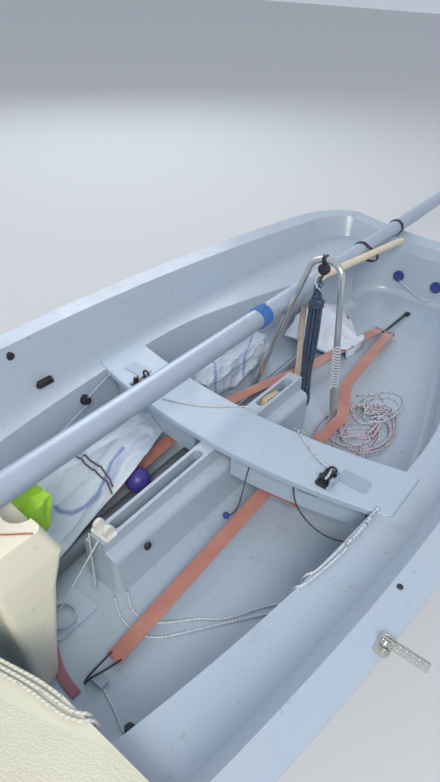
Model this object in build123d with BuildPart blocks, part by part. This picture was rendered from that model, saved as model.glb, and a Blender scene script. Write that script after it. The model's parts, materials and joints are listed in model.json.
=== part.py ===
"""Sailing dinghy stored ashore, mast down, built in millimetres.

X runs forward, Y to port and Z up. The origin lies on the flat bottom, at the foot of the
transom's inner face on the centreline. Sections are given by their distance forward of it.
"""
from build123d import *
from math import radians, sqrt, tan
import os

os.makedirs("parts", exist_ok=True)

# Plan of the gunwale
TRANSOM_X = -40.0
BOW_X = 4240.0
BEAM_X = 1700.0
HALF_BEAM = 872.0
SHOULDER_X = 3100.0
SHOULDER_HALF = 748.0
FORE_X = 3700.0
FORE_HALF = 505.0
STEM_HALF = 26.0
QUARTER_X = 300.0
QUARTER_HALF = 792.0
CORNER_X = 70.0
CORNER_HALF = 712.0
TRANSOM_HALF = 560.0

# Side view of the gunwale, as the hull's edge under the flange
SHEER_AFT_Z = 532.0
SHEER_MID_X = 1900.0
SHEER_MID_Z = 590.0
SHEER_FORE_Z = 643.0
TRANSOM_DIP = 48.0
DIP_HALF = 560.0

# Mouldings
FLANGE_WIDTH = 85.0
FLANGE_THICK = 14.0
OVERHANG = 24.0
SKIN = 8.0
FLARE_DEG = 23.5
SEAT_Z = 445.0
FLOOR_Z = 200.0
FLARE_RUN = tan(radians(FLARE_DEG)) * (SHEER_MID_Z + FLANGE_THICK - SEAT_Z)
WALL_DEG = 7.0
SEAT_X = 1700.0
WELL_HALF = 592.0
WELL_FORE_X = 3034.0
WELL_FORE_HALF = 443.0
WELL_CORNER_R = 90.0
FLOOR_R = 42.0
BLOCK_TOP_Z = 760.0
FOREDECK_X = 3018.0
FOREDECK_AFT_Z = 536.0
FOREDECK_FORE_Z = 628.0
FOREDECK_CAMBER = 26.0
NOTCH_HALF = 345.0
NOTCH_DEPTH = 52.0

# Centreboard and its case
PIVOT_X = 2470.0
PIVOT_Z = 115.0
PIN_R = 6.0
PIN_CLEAR = 0.05
BOARD_THICK = 22.0
BOARD_HEAD_R = 85.0
BOARD_TIP_X = 1605.0
BOARD_TOP_Z = 310.0
SLOT_HALF = 18.0
SLOT_AFT_X = 1580.0
SLOT_FORE_X = 2575.0
SLOT_TOP_Z = 325.0
MOUTH_AFT_X = 2160.0
HATCH_X = (1600.0, 1824.0)
CASE_WALL = 22.0
CASE_TOP_Z = 426.0
CASE_FORE_Z = 406.0
CASE_SHOULDER_Z = 358.0
CASE_TOP_HALF = 30.0
CASE_BASE_HALF = 78.0

# Thwart
THWART_TOP_Z = 449.0
THWART_THICK = 22.0
THWART_LAP = 46.0
THWART_END_X = 1808.0
THWART_CHORD = 227.0
THWART_BOW = 89.0
THWART_BOX_Z = 322.0
JOINT_GAP = 0.3

# Mast gate and step
GATE_TOP_Z = 708.0
MAST_R = 38.0
MAST_WALL = 3.0
TRACK_DEG = 118.0
TRACK_WIDE = 7.0
TRACK_DEEP = 2.0
STEP_X = 2790.0

# Spars as they lie
MAST_FORE_AT = (2840.0, -50.0)
MAST_AFT_AT = (0.0, -283.0)
MAST_FORE_END_X = 3740.0
MAST_AFT_END_X = -2400.0
BOOM_R = 30.0
BOOM_FORE = (2720.0, -140.0)
BOOM_AFT = (700.0, -210.0)
POLE_R = 18.0
POLE_FORE = (1189.0, -134.0, 687.0)
POLE_AFT = (203.0, -185.0, 538.0)
TILLER_AFT = (865.0, -378.0, 313.0)
TILLER_FORE = (1400.0, -75.0, 284.5)
TILLER_DEEP = 24.0
TILLER_WIDE = 28.0

# Hoop
HOOP_R = 12.5
HOOP_FEET = ((1505.0, -242.0), (1505.0, 168.0))
HOOP_BENDS = ((1480.0, -36.0, 880.0), (1480.0, 92.0, 880.0))

# Rudder
STEER_X = -78.0
GUDGEON_Z = (300.0, 455.0)
GUDGEON_HEIGHT = 24.0
PINTLE_R = 5.0
STOCK_FORE_X = -93.0
STOCK_AFT_X = -223.0
CHEEK_HALF = 18.0
BLADE_SLOT_HALF = 12.5
BLADE_HALF = 7.0
BLADE_PIVOT = (-165.0, 190.0)
BLADE_HEAD_R = 60.0
BLADE_TIP_X = -745.0


def limited(points, radii):
    """Corner radii of a closed outline, each kept within what its two sides leave room for."""
    fitted = []
    for index, radius in enumerate(radii):
        here = Vector(*points[index])
        before = Vector(*points[index - 1]) - here
        after = Vector(*points[(index + 1) % len(points)]) - here
        half_turn = radians(180 - before.get_angle(after)) / 2
        room = 0.42 * min(before.length, after.length) / tan(half_turn)
        fitted.append(min(radius, room) if radius else 0)
    return fitted


# Gunwale plan, one closed outline that the flange, the hull and the seats all follow
with BuildSketch() as gunwale_plan:
    with BuildLine():
        midships = TangentArc((BEAM_X, HALF_BEAM), (SHOULDER_X, SHOULDER_HALF), tangent=(1, 0))
        fore = TangentArc(midships @ 1, (FORE_X, FORE_HALF), tangent=midships % 1)
        entry = TangentArc(fore @ 1, (BOW_X, STEM_HALF), tangent=fore % 1)
        Line(entry @ 1, (BOW_X, 0))
        run_aft = TangentArc((BEAM_X, HALF_BEAM), (QUARTER_X, QUARTER_HALF), tangent=(-1, 0))
        quarter = TangentArc(run_aft @ 1, (CORNER_X, CORNER_HALF), tangent=run_aft % 1)
        corner = TangentArc(quarter @ 1, (TRANSOM_X, TRANSOM_HALF), tangent=quarter % 1)
        Line(corner @ 1, (TRANSOM_X, 0))
        mirror(about=Plane.XZ)
    make_face()


def half_breadth(x):
    """Half width of the gunwale plan at a station."""
    across = Edge.make_line((x, 0, 0), (x, 2000, 0))
    return (gunwale_plan.sketch.faces()[0] & across).edges()[0].length


def flare_y(x, z):
    """Half width between the flared sides above the seats."""
    return half_breadth(x) - FLANGE_WIDTH - FLARE_RUN + tan(radians(FLARE_DEG)) * (z - SEAT_Z)


def well_y(x, z):
    """Half width between the footwell's sloping walls, forward of their widest station."""
    narrowing = WELL_HALF - WELL_FORE_HALF
    radius = ((WELL_FORE_X - SEAT_X) ** 2 + narrowing**2) / (2 * narrowing)
    plan_y = WELL_HALF - radius + sqrt(radius**2 - (x - SEAT_X) ** 2)
    return plan_y - tan(radians(WALL_DEG)) * (SEAT_Z + 1 - z)


def above_sheer(rise):
    """Everything above the gunwale's side line, raised by so much, with the dip in the transom."""
    with BuildPart() as space:
        with BuildSketch(Plane.XZ):
            with BuildLine():
                line = ThreePointArc(
                    (TRANSOM_X - 100, SHEER_AFT_Z + rise),
                    (SHEER_MID_X, SHEER_MID_Z + rise),
                    (BOW_X + 100, SHEER_FORE_Z + rise),
                )
                Polyline(line @ 1, (BOW_X + 100, 1200), (TRANSOM_X - 100, 1200), line @ 0)
            make_face()
        extrude(amount=1200, both=True)
        with BuildSketch(Plane.YZ.offset(TRANSOM_X - 100)):
            with BuildLine():
                dip = ThreePointArc(
                    (-DIP_HALF, SHEER_AFT_Z + rise + 3),
                    (0, SHEER_AFT_Z + rise - TRANSOM_DIP),
                    (DIP_HALF, SHEER_AFT_Z + rise + 3),
                )
                Polyline(dip @ 1, (DIP_HALF, 1200), (-DIP_HALF, 1200), dip @ 0)
            make_face()
        extrude(amount=270)
    return space.part


def seat_recess(grow):
    """Space above the seats, flaring up to the inner edge of the flange."""
    with BuildPart() as space:
        with BuildSketch(Plane.XY.offset(SEAT_Z - grow)):
            add(gunwale_plan.sketch)
            offset(amount=-(FLANGE_WIDTH + FLARE_RUN) + grow, mode=Mode.REPLACE)
        extrude(amount=BLOCK_TOP_Z - SEAT_Z + grow, taper=-FLARE_DEG)
    return space.part


def footwell(grow):
    """Space between the side tanks, with sloping walls and a soft edge to the floor."""
    aft_x = TRANSOM_X + FLANGE_WIDTH + FLARE_RUN + 4
    with BuildPart() as space:
        with BuildSketch(Plane.XY.offset(SEAT_Z + 1)):
            with BuildLine():
                forward = TangentArc((SEAT_X, WELL_HALF), (WELL_FORE_X, WELL_FORE_HALF), tangent=(1, 0))
                Line(forward @ 1, (WELL_FORE_X, 0))
                after = TangentArc((SEAT_X, WELL_HALF), (1400, 560), tangent=(-1, 0))
                waist = TangentArc(after @ 1, (950, 445), tangent=after % 1)
                stern = TangentArc(waist @ 1, (450, 330), tangent=waist % 1)
                round_in = TangentArc((aft_x, 170), stern @ 1, tangent=(0, 1))
                Line(round_in @ 0, (aft_x, 0))
                mirror(about=Plane.XZ)
            make_face()
            fillet(vertices().group_by(Axis.X)[-1], radius=WELL_CORNER_R)
            if grow:
                offset(amount=grow)
        extrude(amount=-(SEAT_Z + 1 - FLOOR_Z + grow), taper=WALL_DEG)
        floor = space.faces().sort_by(Axis.Z)[0]
        fillet(floor.edges(), radius=FLOOR_R + grow)
    return space.part


def board_slot():
    """Slot for the centreboard, from under the bottom up through the case."""
    with BuildPart() as space:
        with BuildSketch(Plane.XY.offset(-20)):
            with Locations(((SLOT_AFT_X + SLOT_FORE_X) / 2, 0)):
                SlotOverall(SLOT_FORE_X - SLOT_AFT_X, 2 * SLOT_HALF)
        extrude(amount=20 + SLOT_TOP_Z)
    return space.part


def sheer_z(x):
    """Height of the hull's edge under the flange at a station, off the arc of the sheer."""
    (x1, z1), (x2, z2), (x3, z3) = (
        (TRANSOM_X - 100, SHEER_AFT_Z), (SHEER_MID_X, SHEER_MID_Z), (BOW_X + 100, SHEER_FORE_Z))
    chord_1 = (z2 - z1) / (x2 - x1)
    chord_2 = (z3 - z2) / (x3 - x2)
    bend = (chord_2 - chord_1) / (x3 - x1)
    return z1 + chord_1 * (x - x1) + bend * (x - x1) * (x - x2)


def thwart_block(grow, low, high, half_width):
    """Crescent of the thwart's plan between two heights."""
    with BuildPart() as block:
        with BuildSketch(Plane.XY.offset(low)):
            with BuildLine():
                aft_edge = ThreePointArc(
                    (THWART_END_X, -half_width),
                    (THWART_END_X + THWART_BOW, 0),
                    (THWART_END_X, half_width),
                )
                Line(aft_edge @ 1, aft_edge @ 1 + (THWART_CHORD, 0))
                fore_edge = ThreePointArc(
                    (THWART_END_X + THWART_CHORD, half_width),
                    (THWART_END_X + THWART_CHORD + THWART_BOW, 0),
                    (THWART_END_X + THWART_CHORD, -half_width),
                )
                Line(fore_edge @ 1, aft_edge @ 0)
            make_face()
            fillet(vertices(), radius=24)
            if grow:
                offset(amount=grow)
        extrude(amount=high - low)
    return block.part


# Cutting forms that several mouldings share
SHEER_SPACE = above_sheer(0)
RIM_SPACE = above_sheer(FLANGE_THICK)
RECESS_INSIDE = seat_recess(0)
RECESS_OUTSIDE = seat_recess(SKIN)
WELL_INSIDE = footwell(0)
WELL_OUTSIDE = footwell(SKIN)
SLOT = board_slot()
THWART_REBATE = thwart_block(JOINT_GAP, THWART_TOP_Z - THWART_THICK - JOINT_GAP, THWART_TOP_Z + 20,
                             WELL_HALF + THWART_LAP)


def write_piece(builder, name):
    """Label a finished piece and write it to its own file."""
    builder.part.label = name
    solids = builder.part.solids()
    print(name, "solids", len(solids), "valid", builder.part.is_valid)
    export_step(builder.part, f"parts/{name}.step")


# Hull: stations with chine half width, chine height, flat half width and keel height
HULL_STATIONS = (
    (TRANSOM_X, 440, 130, 150, -6),
    (30, 500, 125, 160, -6),
    (150, 545, 122, 165, -6),
    (400, 590, 120, 170, -6),
    (1000, 640, 120, 180, -6),
    (1700, 655, 122, 180, -6),
    (2400, 620, 130, 165, -6),
    (3000, 520, 150, 120, 8),
    (3500, 350, 190, 70, 50),
    (3900, 180, 270, 32, 150),
    (4130, 80, 400, 18, 300),
    (BOW_X - 12, 16, 545, 8, 500),
)
SHEER_REFERENCE_Z = 600.0
CHINE_R = 150.0
KEEL_R = 90.0
PIN_REACH = 40.0

with BuildPart() as hull:
    for x, chine, chine_z, flat, keel_z in HULL_STATIONS:
        rim = half_breadth(max(x, TRANSOM_X + 2))
        side = rim - min(OVERHANG, 0.4 * rim)
        flare = (side - chine) / (SHEER_REFERENCE_Z - chine_z)
        top = side + flare * (BLOCK_TOP_Z - SHEER_REFERENCE_Z)
        outline = [(-top, BLOCK_TOP_Z), (-chine, chine_z), (-flat, keel_z),
                   (flat, keel_z), (chine, chine_z), (top, BLOCK_TOP_Z)]
        radii = limited(outline, [0, CHINE_R, KEEL_R, KEEL_R, CHINE_R, 0])
        with BuildSketch(Plane.YZ.offset(x)):
            with BuildLine():
                FilletPolyline(*outline, radius=radii, close=True)
            make_face()
    loft()
    split(bisect_by=Plane.XY, keep=Keep.TOP)
    add(SHEER_SPACE, mode=Mode.SUBTRACT)
    add(RECESS_OUTSIDE, mode=Mode.SUBTRACT)
    add(WELL_OUTSIDE, mode=Mode.SUBTRACT)
    add(THWART_REBATE, mode=Mode.SUBTRACT)
    add(SLOT, mode=Mode.SUBTRACT)
    with Locations(Location((PIVOT_X, 0, PIVOT_Z), (90, 0, 0))):
        Cylinder(PIN_R, 2 * PIN_REACH, mode=Mode.SUBTRACT)
write_piece(hull, "hull")

# Cockpit moulding: seats, tank sides and floor as one skin on the hull
with BuildPart() as liner:
    add(RECESS_OUTSIDE)
    add(WELL_OUTSIDE)
    add(SHEER_SPACE, mode=Mode.SUBTRACT)
    add(RECESS_INSIDE, mode=Mode.SUBTRACT)
    add(WELL_INSIDE, mode=Mode.SUBTRACT)
    add(THWART_REBATE, mode=Mode.SUBTRACT)
    add(SLOT, mode=Mode.SUBTRACT)
write_piece(liner, "cockpit_moulding")

# Gunwale flange all the way round
with BuildPart() as gunwale:
    with BuildSketch(Plane.XY.offset(SHEER_AFT_Z - TRANSOM_DIP - 40)):
        add(gunwale_plan.sketch)
    extrude(amount=BLOCK_TOP_Z - SHEER_AFT_Z + TRANSOM_DIP)
    add(RECESS_INSIDE, mode=Mode.SUBTRACT)
    add(RIM_SPACE, mode=Mode.SUBTRACT)
    add(SHEER_SPACE, mode=Mode.INTERSECT)
write_piece(gunwale, "gunwale_flange")

# Foredeck: cambered block that fills the recess forward, notched round the mast
with BuildPart() as foredeck:
    for x, edge_z in ((FOREDECK_X, FOREDECK_AFT_Z), (BOW_X, FOREDECK_FORE_Z)):
        with BuildSketch(Plane.YZ.offset(x)):
            with BuildLine():
                camber = ThreePointArc((-HALF_BEAM, edge_z), (0, edge_z + FOREDECK_CAMBER),
                                       (HALF_BEAM, edge_z))
                Polyline(camber @ 1, (HALF_BEAM, SEAT_Z), (-HALF_BEAM, SEAT_Z), camber @ 0)
            make_face()
    loft()
    add(RECESS_INSIDE, mode=Mode.INTERSECT)
    with BuildSketch(Plane.XY.offset(SEAT_Z - 10)):
        with BuildLine():
            notch = ThreePointArc((FOREDECK_X, -NOTCH_HALF), (FOREDECK_X + NOTCH_DEPTH, 0),
                                  (FOREDECK_X, NOTCH_HALF))
            Polyline(notch @ 1, (FOREDECK_X - 50, NOTCH_HALF), (FOREDECK_X - 50, -NOTCH_HALF), notch @ 0)
        make_face()
    extrude(amount=BLOCK_TOP_Z - SEAT_Z, mode=Mode.SUBTRACT)
    add(WELL_INSIDE, mode=Mode.SUBTRACT)
write_piece(foredeck, "foredeck")

# Centre case: bulging flanks, a narrow upstand round the slot, lower aft of the thwart
CASE_AFT_X = SLOT_AFT_X - CASE_WALL
CASE_FORE_X = SLOT_FORE_X + CASE_WALL + 34
CASE_AFT_Z = SLOT_TOP_Z + 20
CASE_STEP_X = THWART_END_X + 20
THWART_FORE_X = THWART_END_X + THWART_CHORD + THWART_BOW
with BuildPart() as case:
    with BuildSketch(Plane.YZ.offset(CASE_AFT_X)):
        with BuildLine():
            side = FilletPolyline(
                (CASE_BASE_HALF, FLOOR_Z), (CASE_BASE_HALF - 8, CASE_SHOULDER_Z),
                (CASE_TOP_HALF + 2, CASE_SHOULDER_Z + 8), (CASE_TOP_HALF, CASE_TOP_Z),
                radius=(30, 4),
            )
            mirror(side, about=Plane.YZ)
            Line((CASE_BASE_HALF, FLOOR_Z), (-CASE_BASE_HALF, FLOOR_Z))
            Line((CASE_TOP_HALF, CASE_TOP_Z), (-CASE_TOP_HALF, CASE_TOP_Z))
        make_face()
    extrude(amount=CASE_FORE_X - CASE_AFT_X)
    with BuildSketch(Plane.XY.offset(FLOOR_Z)):
        with Locations(((CASE_AFT_X + CASE_FORE_X) / 2, 0)):
            RectangleRounded(CASE_FORE_X - CASE_AFT_X, 2 * CASE_BASE_HALF, 26)
    extrude(amount=CASE_TOP_Z, mode=Mode.INTERSECT)
    with BuildSketch(Plane.XZ):
        with BuildLine():
            Polyline((THWART_FORE_X, CASE_TOP_Z + 1), (THWART_FORE_X, CASE_TOP_Z),
                     (CASE_FORE_X + 1, CASE_FORE_Z), (CASE_FORE_X + 1, CASE_TOP_Z + 1), close=True)
            Polyline((CASE_STEP_X, CASE_TOP_Z + 1), (CASE_STEP_X, CASE_TOP_Z - 8),
                     (CASE_AFT_X - 40, CASE_AFT_Z), (CASE_AFT_X - 40, CASE_TOP_Z + 1), close=True)
        make_face()
    extrude(amount=200, both=True, mode=Mode.SUBTRACT)
    add(SLOT, mode=Mode.SUBTRACT)
    with BuildSketch(Plane.XY.offset(SLOT_TOP_Z - 20)):
        with Locations(((MOUTH_AFT_X + SLOT_FORE_X) / 2, 0)):
            SlotOverall(SLOT_FORE_X - MOUTH_AFT_X, 2 * SLOT_HALF)
        with Locations(((HATCH_X[0] + HATCH_X[1]) / 2, 0)):
            SlotOverall(HATCH_X[1] - HATCH_X[0], 2 * SLOT_HALF)
    extrude(amount=200, mode=Mode.SUBTRACT)
write_piece(case, "centre_case")

# Centreboard, raised in its case, its head rounded about the pivot
BOARD_PEAK = ((1662.0, 385.0), (1690.0, 416.0), (1772.0, 426.0), (1790.0, 408.0))
with BuildPart() as board:
    with BuildSketch(Plane.XZ):
        with BuildLine():
            low_z = PIVOT_Z - BOARD_HEAD_R
            Polyline((PIVOT_X, low_z), (BOARD_TIP_X + 60, low_z), (BOARD_TIP_X, low_z + 70),
                     (BOARD_TIP_X + 36, BOARD_TOP_Z), *BOARD_PEAK, (BOARD_PEAK[-1][0] + 30, BOARD_TOP_Z),
                     (PIVOT_X - 130, BOARD_TOP_Z), (PIVOT_X, PIVOT_Z + BOARD_HEAD_R))
            ThreePointArc((PIVOT_X, PIVOT_Z + BOARD_HEAD_R), (PIVOT_X + BOARD_HEAD_R, PIVOT_Z),
                          (PIVOT_X, low_z))
        make_face()
    extrude(amount=BOARD_THICK / 2, both=True)
    chamfer(board.faces().filter_by(Axis.Y).edges().group_by(Axis.Z)[0], length=5)
    with Locations(Location((PIVOT_X, 0, PIVOT_Z), (90, 0, 0))):
        Cylinder(PIN_R + PIN_CLEAR, BOARD_THICK * 2, mode=Mode.SUBTRACT)
write_piece(board, "centreboard")

with BuildPart() as board_pin:
    with Locations(Location((PIVOT_X, 0, PIVOT_Z), (90, 0, 0))):
        Cylinder(PIN_R, 2 * PIN_REACH)
write_piece(board_pin, "centreboard_pin")

# Thwart: crescent top let into the seats, with a box under it that clears the case
BOX_INSET = 26.0
POCKET_Y = 367.0
POCKET_Z = 398.0
POCKET_SIZE = (64.0, 27.0)
POCKET_DEEP = 30.0
with BuildPart() as thwart:
    add(thwart_block(0, THWART_TOP_Z - THWART_THICK, THWART_TOP_Z, WELL_HALF + THWART_LAP - JOINT_GAP))
    fillet(thwart.faces().sort_by(Axis.Z)[-1].edges(), radius=5)
    add(thwart_block(-BOX_INSET, THWART_BOX_Z, THWART_TOP_Z - THWART_THICK, WELL_HALF - 12))
    with Locations(((CASE_AFT_X + CASE_FORE_X) / 2, 0, THWART_BOX_Z)):
        Box(CASE_FORE_X - CASE_AFT_X + 80, 2 * (CASE_BASE_HALF + 4),
            2 * (THWART_TOP_Z - THWART_THICK - THWART_BOX_Z), mode=Mode.SUBTRACT)
    with Locations((THWART_FORE_X - BOX_INSET - POCKET_DEEP, POCKET_Y, POCKET_Z)):
        Box(2 * POCKET_DEEP, *POCKET_SIZE, mode=Mode.SUBTRACT)
write_piece(thwart, "thwart")

# Mast gate tower: stations of height, aft face, fore face and half width
GATE_STATIONS = (
    (FLOOR_Z, 2893, 2960, 122),
    (360, 2866, 2968, 117),
    (520, 2836, 2985, 110),
    (612, 2799, 2996, 103),
    (GATE_TOP_Z, 2836, 2992, 88),
)
with BuildPart() as gate:
    for z, aft_x, fore_x, half in GATE_STATIONS:
        with BuildSketch(Plane.XY.offset(z)):
            with Locations(((aft_x + fore_x) / 2, 0)):
                RectangleRounded(fore_x - aft_x, 2 * half, 22)
    loft(ruled=True)
    with BuildSketch(Plane.XY.offset(430)):
        with BuildLine():
            reach = MAST_R + 6
            Polyline((STEP_X - 80, -reach), (STEP_X + 46, -reach))
            ThreePointArc((STEP_X + 46, -reach), (STEP_X + 46 + reach, 0), (STEP_X + 46, reach))
            Polyline((STEP_X + 46, reach), (STEP_X - 80, reach), (STEP_X - 80, -reach))
        make_face()
    extrude(amount=400, taper=0, mode=Mode.SUBTRACT)
write_piece(gate, "mast_gate")

with BuildPart() as step:
    with BuildSketch(Plane.XY.offset(FLOOR_Z)):
        with Locations((STEP_X - 20, 0)):
            RectangleRounded(150, 110, 14)
    extrude(amount=6)
    with BuildSketch(Plane.XY.offset(FLOOR_Z + 6)):
        with Locations((STEP_X, 0)):
            Circle(MAST_R + 5)
            Circle(MAST_R + 1, mode=Mode.SUBTRACT)
    extrude(amount=12)
write_piece(step, "mast_step")

# Mainsheet hoop: one bent tube on two feet, pushed over to port at its top
HOOP_TOP = (1466.0, 26.0, 908.0)
FOOT_THICK = 5.0
FOOT_TOP_Z = FLOOR_Z + FOOT_THICK
with BuildPart() as hoop:
    with BuildLine() as hoop_path:
        FilletPolyline((*HOOP_FEET[0], FOOT_TOP_Z), HOOP_BENDS[0], HOOP_TOP, HOOP_BENDS[1],
                       (*HOOP_FEET[1], FOOT_TOP_Z), radius=(55, 80, 55))
    with BuildSketch(Plane(origin=hoop_path.line @ 0, z_dir=hoop_path.line % 0)):
        Circle(HOOP_R)
        Circle(HOOP_R - 2, mode=Mode.SUBTRACT)
    sweep()
    split(bisect_by=Plane.XY.offset(FOOT_TOP_Z), keep=Keep.TOP)
write_piece(hoop, "mainsheet_hoop")

with BuildPart() as hoop_feet:
    with BuildSketch(Plane.XY.offset(FLOOR_Z)):
        with Locations(*HOOP_FEET):
            RectangleRounded(64, 46, 10)
    extrude(amount=FOOT_THICK)
write_piece(hoop_feet, "hoop_feet")


def mast_centre(x):
    """Point on the mast's centre line at a station."""
    part_way = (x - MAST_AFT_AT[0]) / (MAST_FORE_AT[0] - MAST_AFT_AT[0])
    return MAST_AFT + (MAST_FORE - MAST_AFT) * part_way


def ring_on_mast(x, width, inner, outer):
    """Band round the mast, square to it, centred at a station."""
    with BuildPart() as band:
        with BuildSketch(Plane(origin=mast_centre(x), z_dir=MAST_DIR)):
            Circle(outer)
            Circle(inner, mode=Mode.SUBTRACT)
        extrude(amount=width / 2, both=True)
    return band.part


# Mast, lying from the gate to the dip in the transom
MAST_FORE = Vector(MAST_FORE_AT[0], MAST_FORE_AT[1], GATE_TOP_Z + MAST_R + 1.2)
RIM_AT_MAST_Z = SHEER_AFT_Z + 3 + FLANGE_THICK - (TRANSOM_DIP + 3) * (1 - (MAST_AFT_AT[1] / DIP_HALF) ** 2)
MAST_AFT = Vector(MAST_AFT_AT[0], MAST_AFT_AT[1], RIM_AT_MAST_Z + MAST_R + 3.6)
MAST_DIR = (MAST_FORE - MAST_AFT).normalized()
MAST_SCALE = (MAST_FORE - MAST_AFT).length / (MAST_FORE_AT[0] - MAST_AFT_AT[0])
MAST_HEEL = MAST_FORE + MAST_DIR * (MAST_FORE_END_X - MAST_FORE_AT[0]) * MAST_SCALE
MAST_LENGTH = (MAST_FORE_END_X - MAST_AFT_END_X) * MAST_SCALE
with BuildPart() as mast:
    mast_plane = Plane(origin=MAST_HEEL, x_dir=(0, 0, 1), z_dir=MAST_DIR * -1)
    with BuildSketch(mast_plane):
        Circle(MAST_R)
        Circle(MAST_R - MAST_WALL, mode=Mode.SUBTRACT)
    extrude(amount=MAST_LENGTH)
    with BuildSketch(mast_plane):
        with PolarLocations(MAST_R, 1, start_angle=TRACK_DEG):
            Rectangle(2 * TRACK_DEEP, TRACK_WIDE)
    extrude(amount=MAST_LENGTH, mode=Mode.SUBTRACT)
write_piece(mast, "mast_tube")

CAP_DEPTH = 40.0
with BuildPart() as mast_heel:
    with BuildSketch(mast_plane):
        Circle(MAST_R - MAST_WALL)
    extrude(amount=CAP_DEPTH)
    with BuildSketch(mast_plane):
        Circle(MAST_R - 4)
    extrude(amount=-16)
write_piece(mast_heel, "mast_heel")

with BuildPart() as mast_head:
    head_plane = Plane(origin=MAST_HEEL - MAST_DIR * MAST_LENGTH, x_dir=(0, 0, 1), z_dir=MAST_DIR)
    with BuildSketch(head_plane):
        Circle(MAST_R - MAST_WALL)
    extrude(amount=CAP_DEPTH)
    with BuildSketch(head_plane):
        Circle(MAST_R)
    extrude(amount=-10)
    with BuildSketch(head_plane.offset(-10)):
        RectangleRounded(60, 20, 9)
    extrude(amount=-34)
write_piece(mast_head, "mast_head")

BLUE_LASH_X = 1625.0
with BuildPart() as blue_lashing:
    add(ring_on_mast(BLUE_LASH_X, 78, MAST_R, MAST_R + 9))
write_piece(blue_lashing, "blue_lashing")

# Black lashings: one round the mast at the transom, one round mast and pole together
AFT_LASH_X = 70.0
LASH_X = 600.0
POLE_START = Vector(*POLE_FORE)
POLE_END = Vector(*POLE_AFT)
lash_plane = Plane(origin=mast_centre(LASH_X), x_dir=(0, 1, 0), z_dir=MAST_DIR)
pole_share = (POLE_START.X - LASH_X) / (POLE_START.X - POLE_END.X)
pole_here = lash_plane.to_local_coords(POLE_START + (POLE_END - POLE_START) * pole_share)
with BuildPart() as black_lashings:
    add(ring_on_mast(AFT_LASH_X, 26, MAST_R, MAST_R + 5))
    with BuildSketch(lash_plane):
        Circle(MAST_R + 4)
        with Locations((pole_here.X, pole_here.Y)):
            Circle(POLE_R + 6)
        make_hull()
        Circle(MAST_R, mode=Mode.SUBTRACT)
        with Locations((pole_here.X, pole_here.Y)):
            Circle(POLE_R + 2, mode=Mode.SUBTRACT)
    extrude(amount=16, both=True)
write_piece(black_lashings, "black_lashings")

# Boom on the floor beside the case
with BuildPart() as boom:
    boom_fore = Vector(*BOOM_FORE, FLOOR_Z + BOOM_R + JOINT_GAP)
    boom_aft = Vector(*BOOM_AFT, FLOOR_Z + BOOM_R + JOINT_GAP)
    boom_plane = Plane(origin=boom_fore, x_dir=(0, 0, 1), z_dir=boom_aft - boom_fore)
    with BuildSketch(boom_plane):
        Circle(BOOM_R)
        Circle(BOOM_R - 2.5, mode=Mode.SUBTRACT)
    extrude(amount=(boom_aft - boom_fore).length)
write_piece(boom, "boom_tube")

with BuildPart() as boom_ends:
    for origin, toward in ((boom_fore, boom_aft - boom_fore), (boom_aft, boom_fore - boom_aft)):
        end_plane = Plane(origin=origin, x_dir=(0, 0, 1), z_dir=toward)
        with BuildSketch(end_plane):
            Circle(BOOM_R - 2.5)
        extrude(amount=30)
        with BuildSketch(end_plane):
            Circle(BOOM_R - 1)
        extrude(amount=-9)
        with BuildSketch(end_plane.offset(-9)):
            RectangleRounded(34, 12, 5)
        extrude(amount=-22)
write_piece(boom_ends, "boom_ends")

# Float ball resting on the boom
BALL_X = 2314.0
BALL_R = 45.0
BALL_Z = FLOOR_Z + 2 * BOOM_R + 2 * JOINT_GAP + BALL_R
ball_share = (BOOM_FORE[0] - BALL_X) / (BOOM_FORE[0] - BOOM_AFT[0])
ball_y = BOOM_FORE[1] + (BOOM_AFT[1] - BOOM_FORE[1]) * ball_share
with BuildPart() as ball:
    with Locations((BALL_X, ball_y, BALL_Z)):
        Sphere(BALL_R)
write_piece(ball, "purple_ball")

# Cream pole lashed along the mast, with a flat end aft
POLE_TANG = 46.0
with BuildPart() as pole:
    pole_run = POLE_END - POLE_START
    with BuildSketch(Plane(origin=POLE_START, x_dir=(0, 0, 1), z_dir=pole_run)):
        Circle(POLE_R)
    extrude(amount=pole_run.length)
    with BuildSketch(Plane(origin=POLE_END, x_dir=(0, 0, 1), z_dir=pole_run)):
        RectangleRounded(24, 16, 6)
    extrude(amount=POLE_TANG)
write_piece(pole, "pole")

# Fittings on the transom and the rudder hung from them
with BuildPart() as gudgeons:
    for z in GUDGEON_Z:
        with BuildSketch(Plane.YZ.offset(TRANSOM_X)):
            with Locations((0, z)):
                RectangleRounded(70, 40, 8)
        extrude(amount=-6)
        with BuildSketch(Plane.XY.offset(z - GUDGEON_HEIGHT / 2)):
            with Locations(((TRANSOM_X - 6 + STEER_X) / 2, 0)):
                Rectangle(TRANSOM_X - 6 - STEER_X, 18)
            with Locations((STEER_X, 0)):
                Circle(10)
                Circle(PINTLE_R, mode=Mode.SUBTRACT)
        extrude(amount=GUDGEON_HEIGHT)
write_piece(gudgeons, "gudgeons")

with BuildPart() as pintles:
    for z in GUDGEON_Z:
        seat_z = z + GUDGEON_HEIGHT / 2 + JOINT_GAP
        with BuildSketch(Plane.XY.offset(seat_z)):
            with Locations(((STOCK_FORE_X + STEER_X) / 2, 0)):
                Rectangle(STEER_X - STOCK_FORE_X, 22)
            with Locations((STEER_X, 0)):
                Circle(11)
        extrude(amount=7)
        with BuildSketch(Plane.XY.offset(seat_z - GUDGEON_HEIGHT - 14)):
            with Locations((STEER_X, 0)):
                Circle(PINTLE_R - PIN_CLEAR)
        extrude(amount=GUDGEON_HEIGHT + 16)
write_piece(pintles, "pintles")

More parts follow.
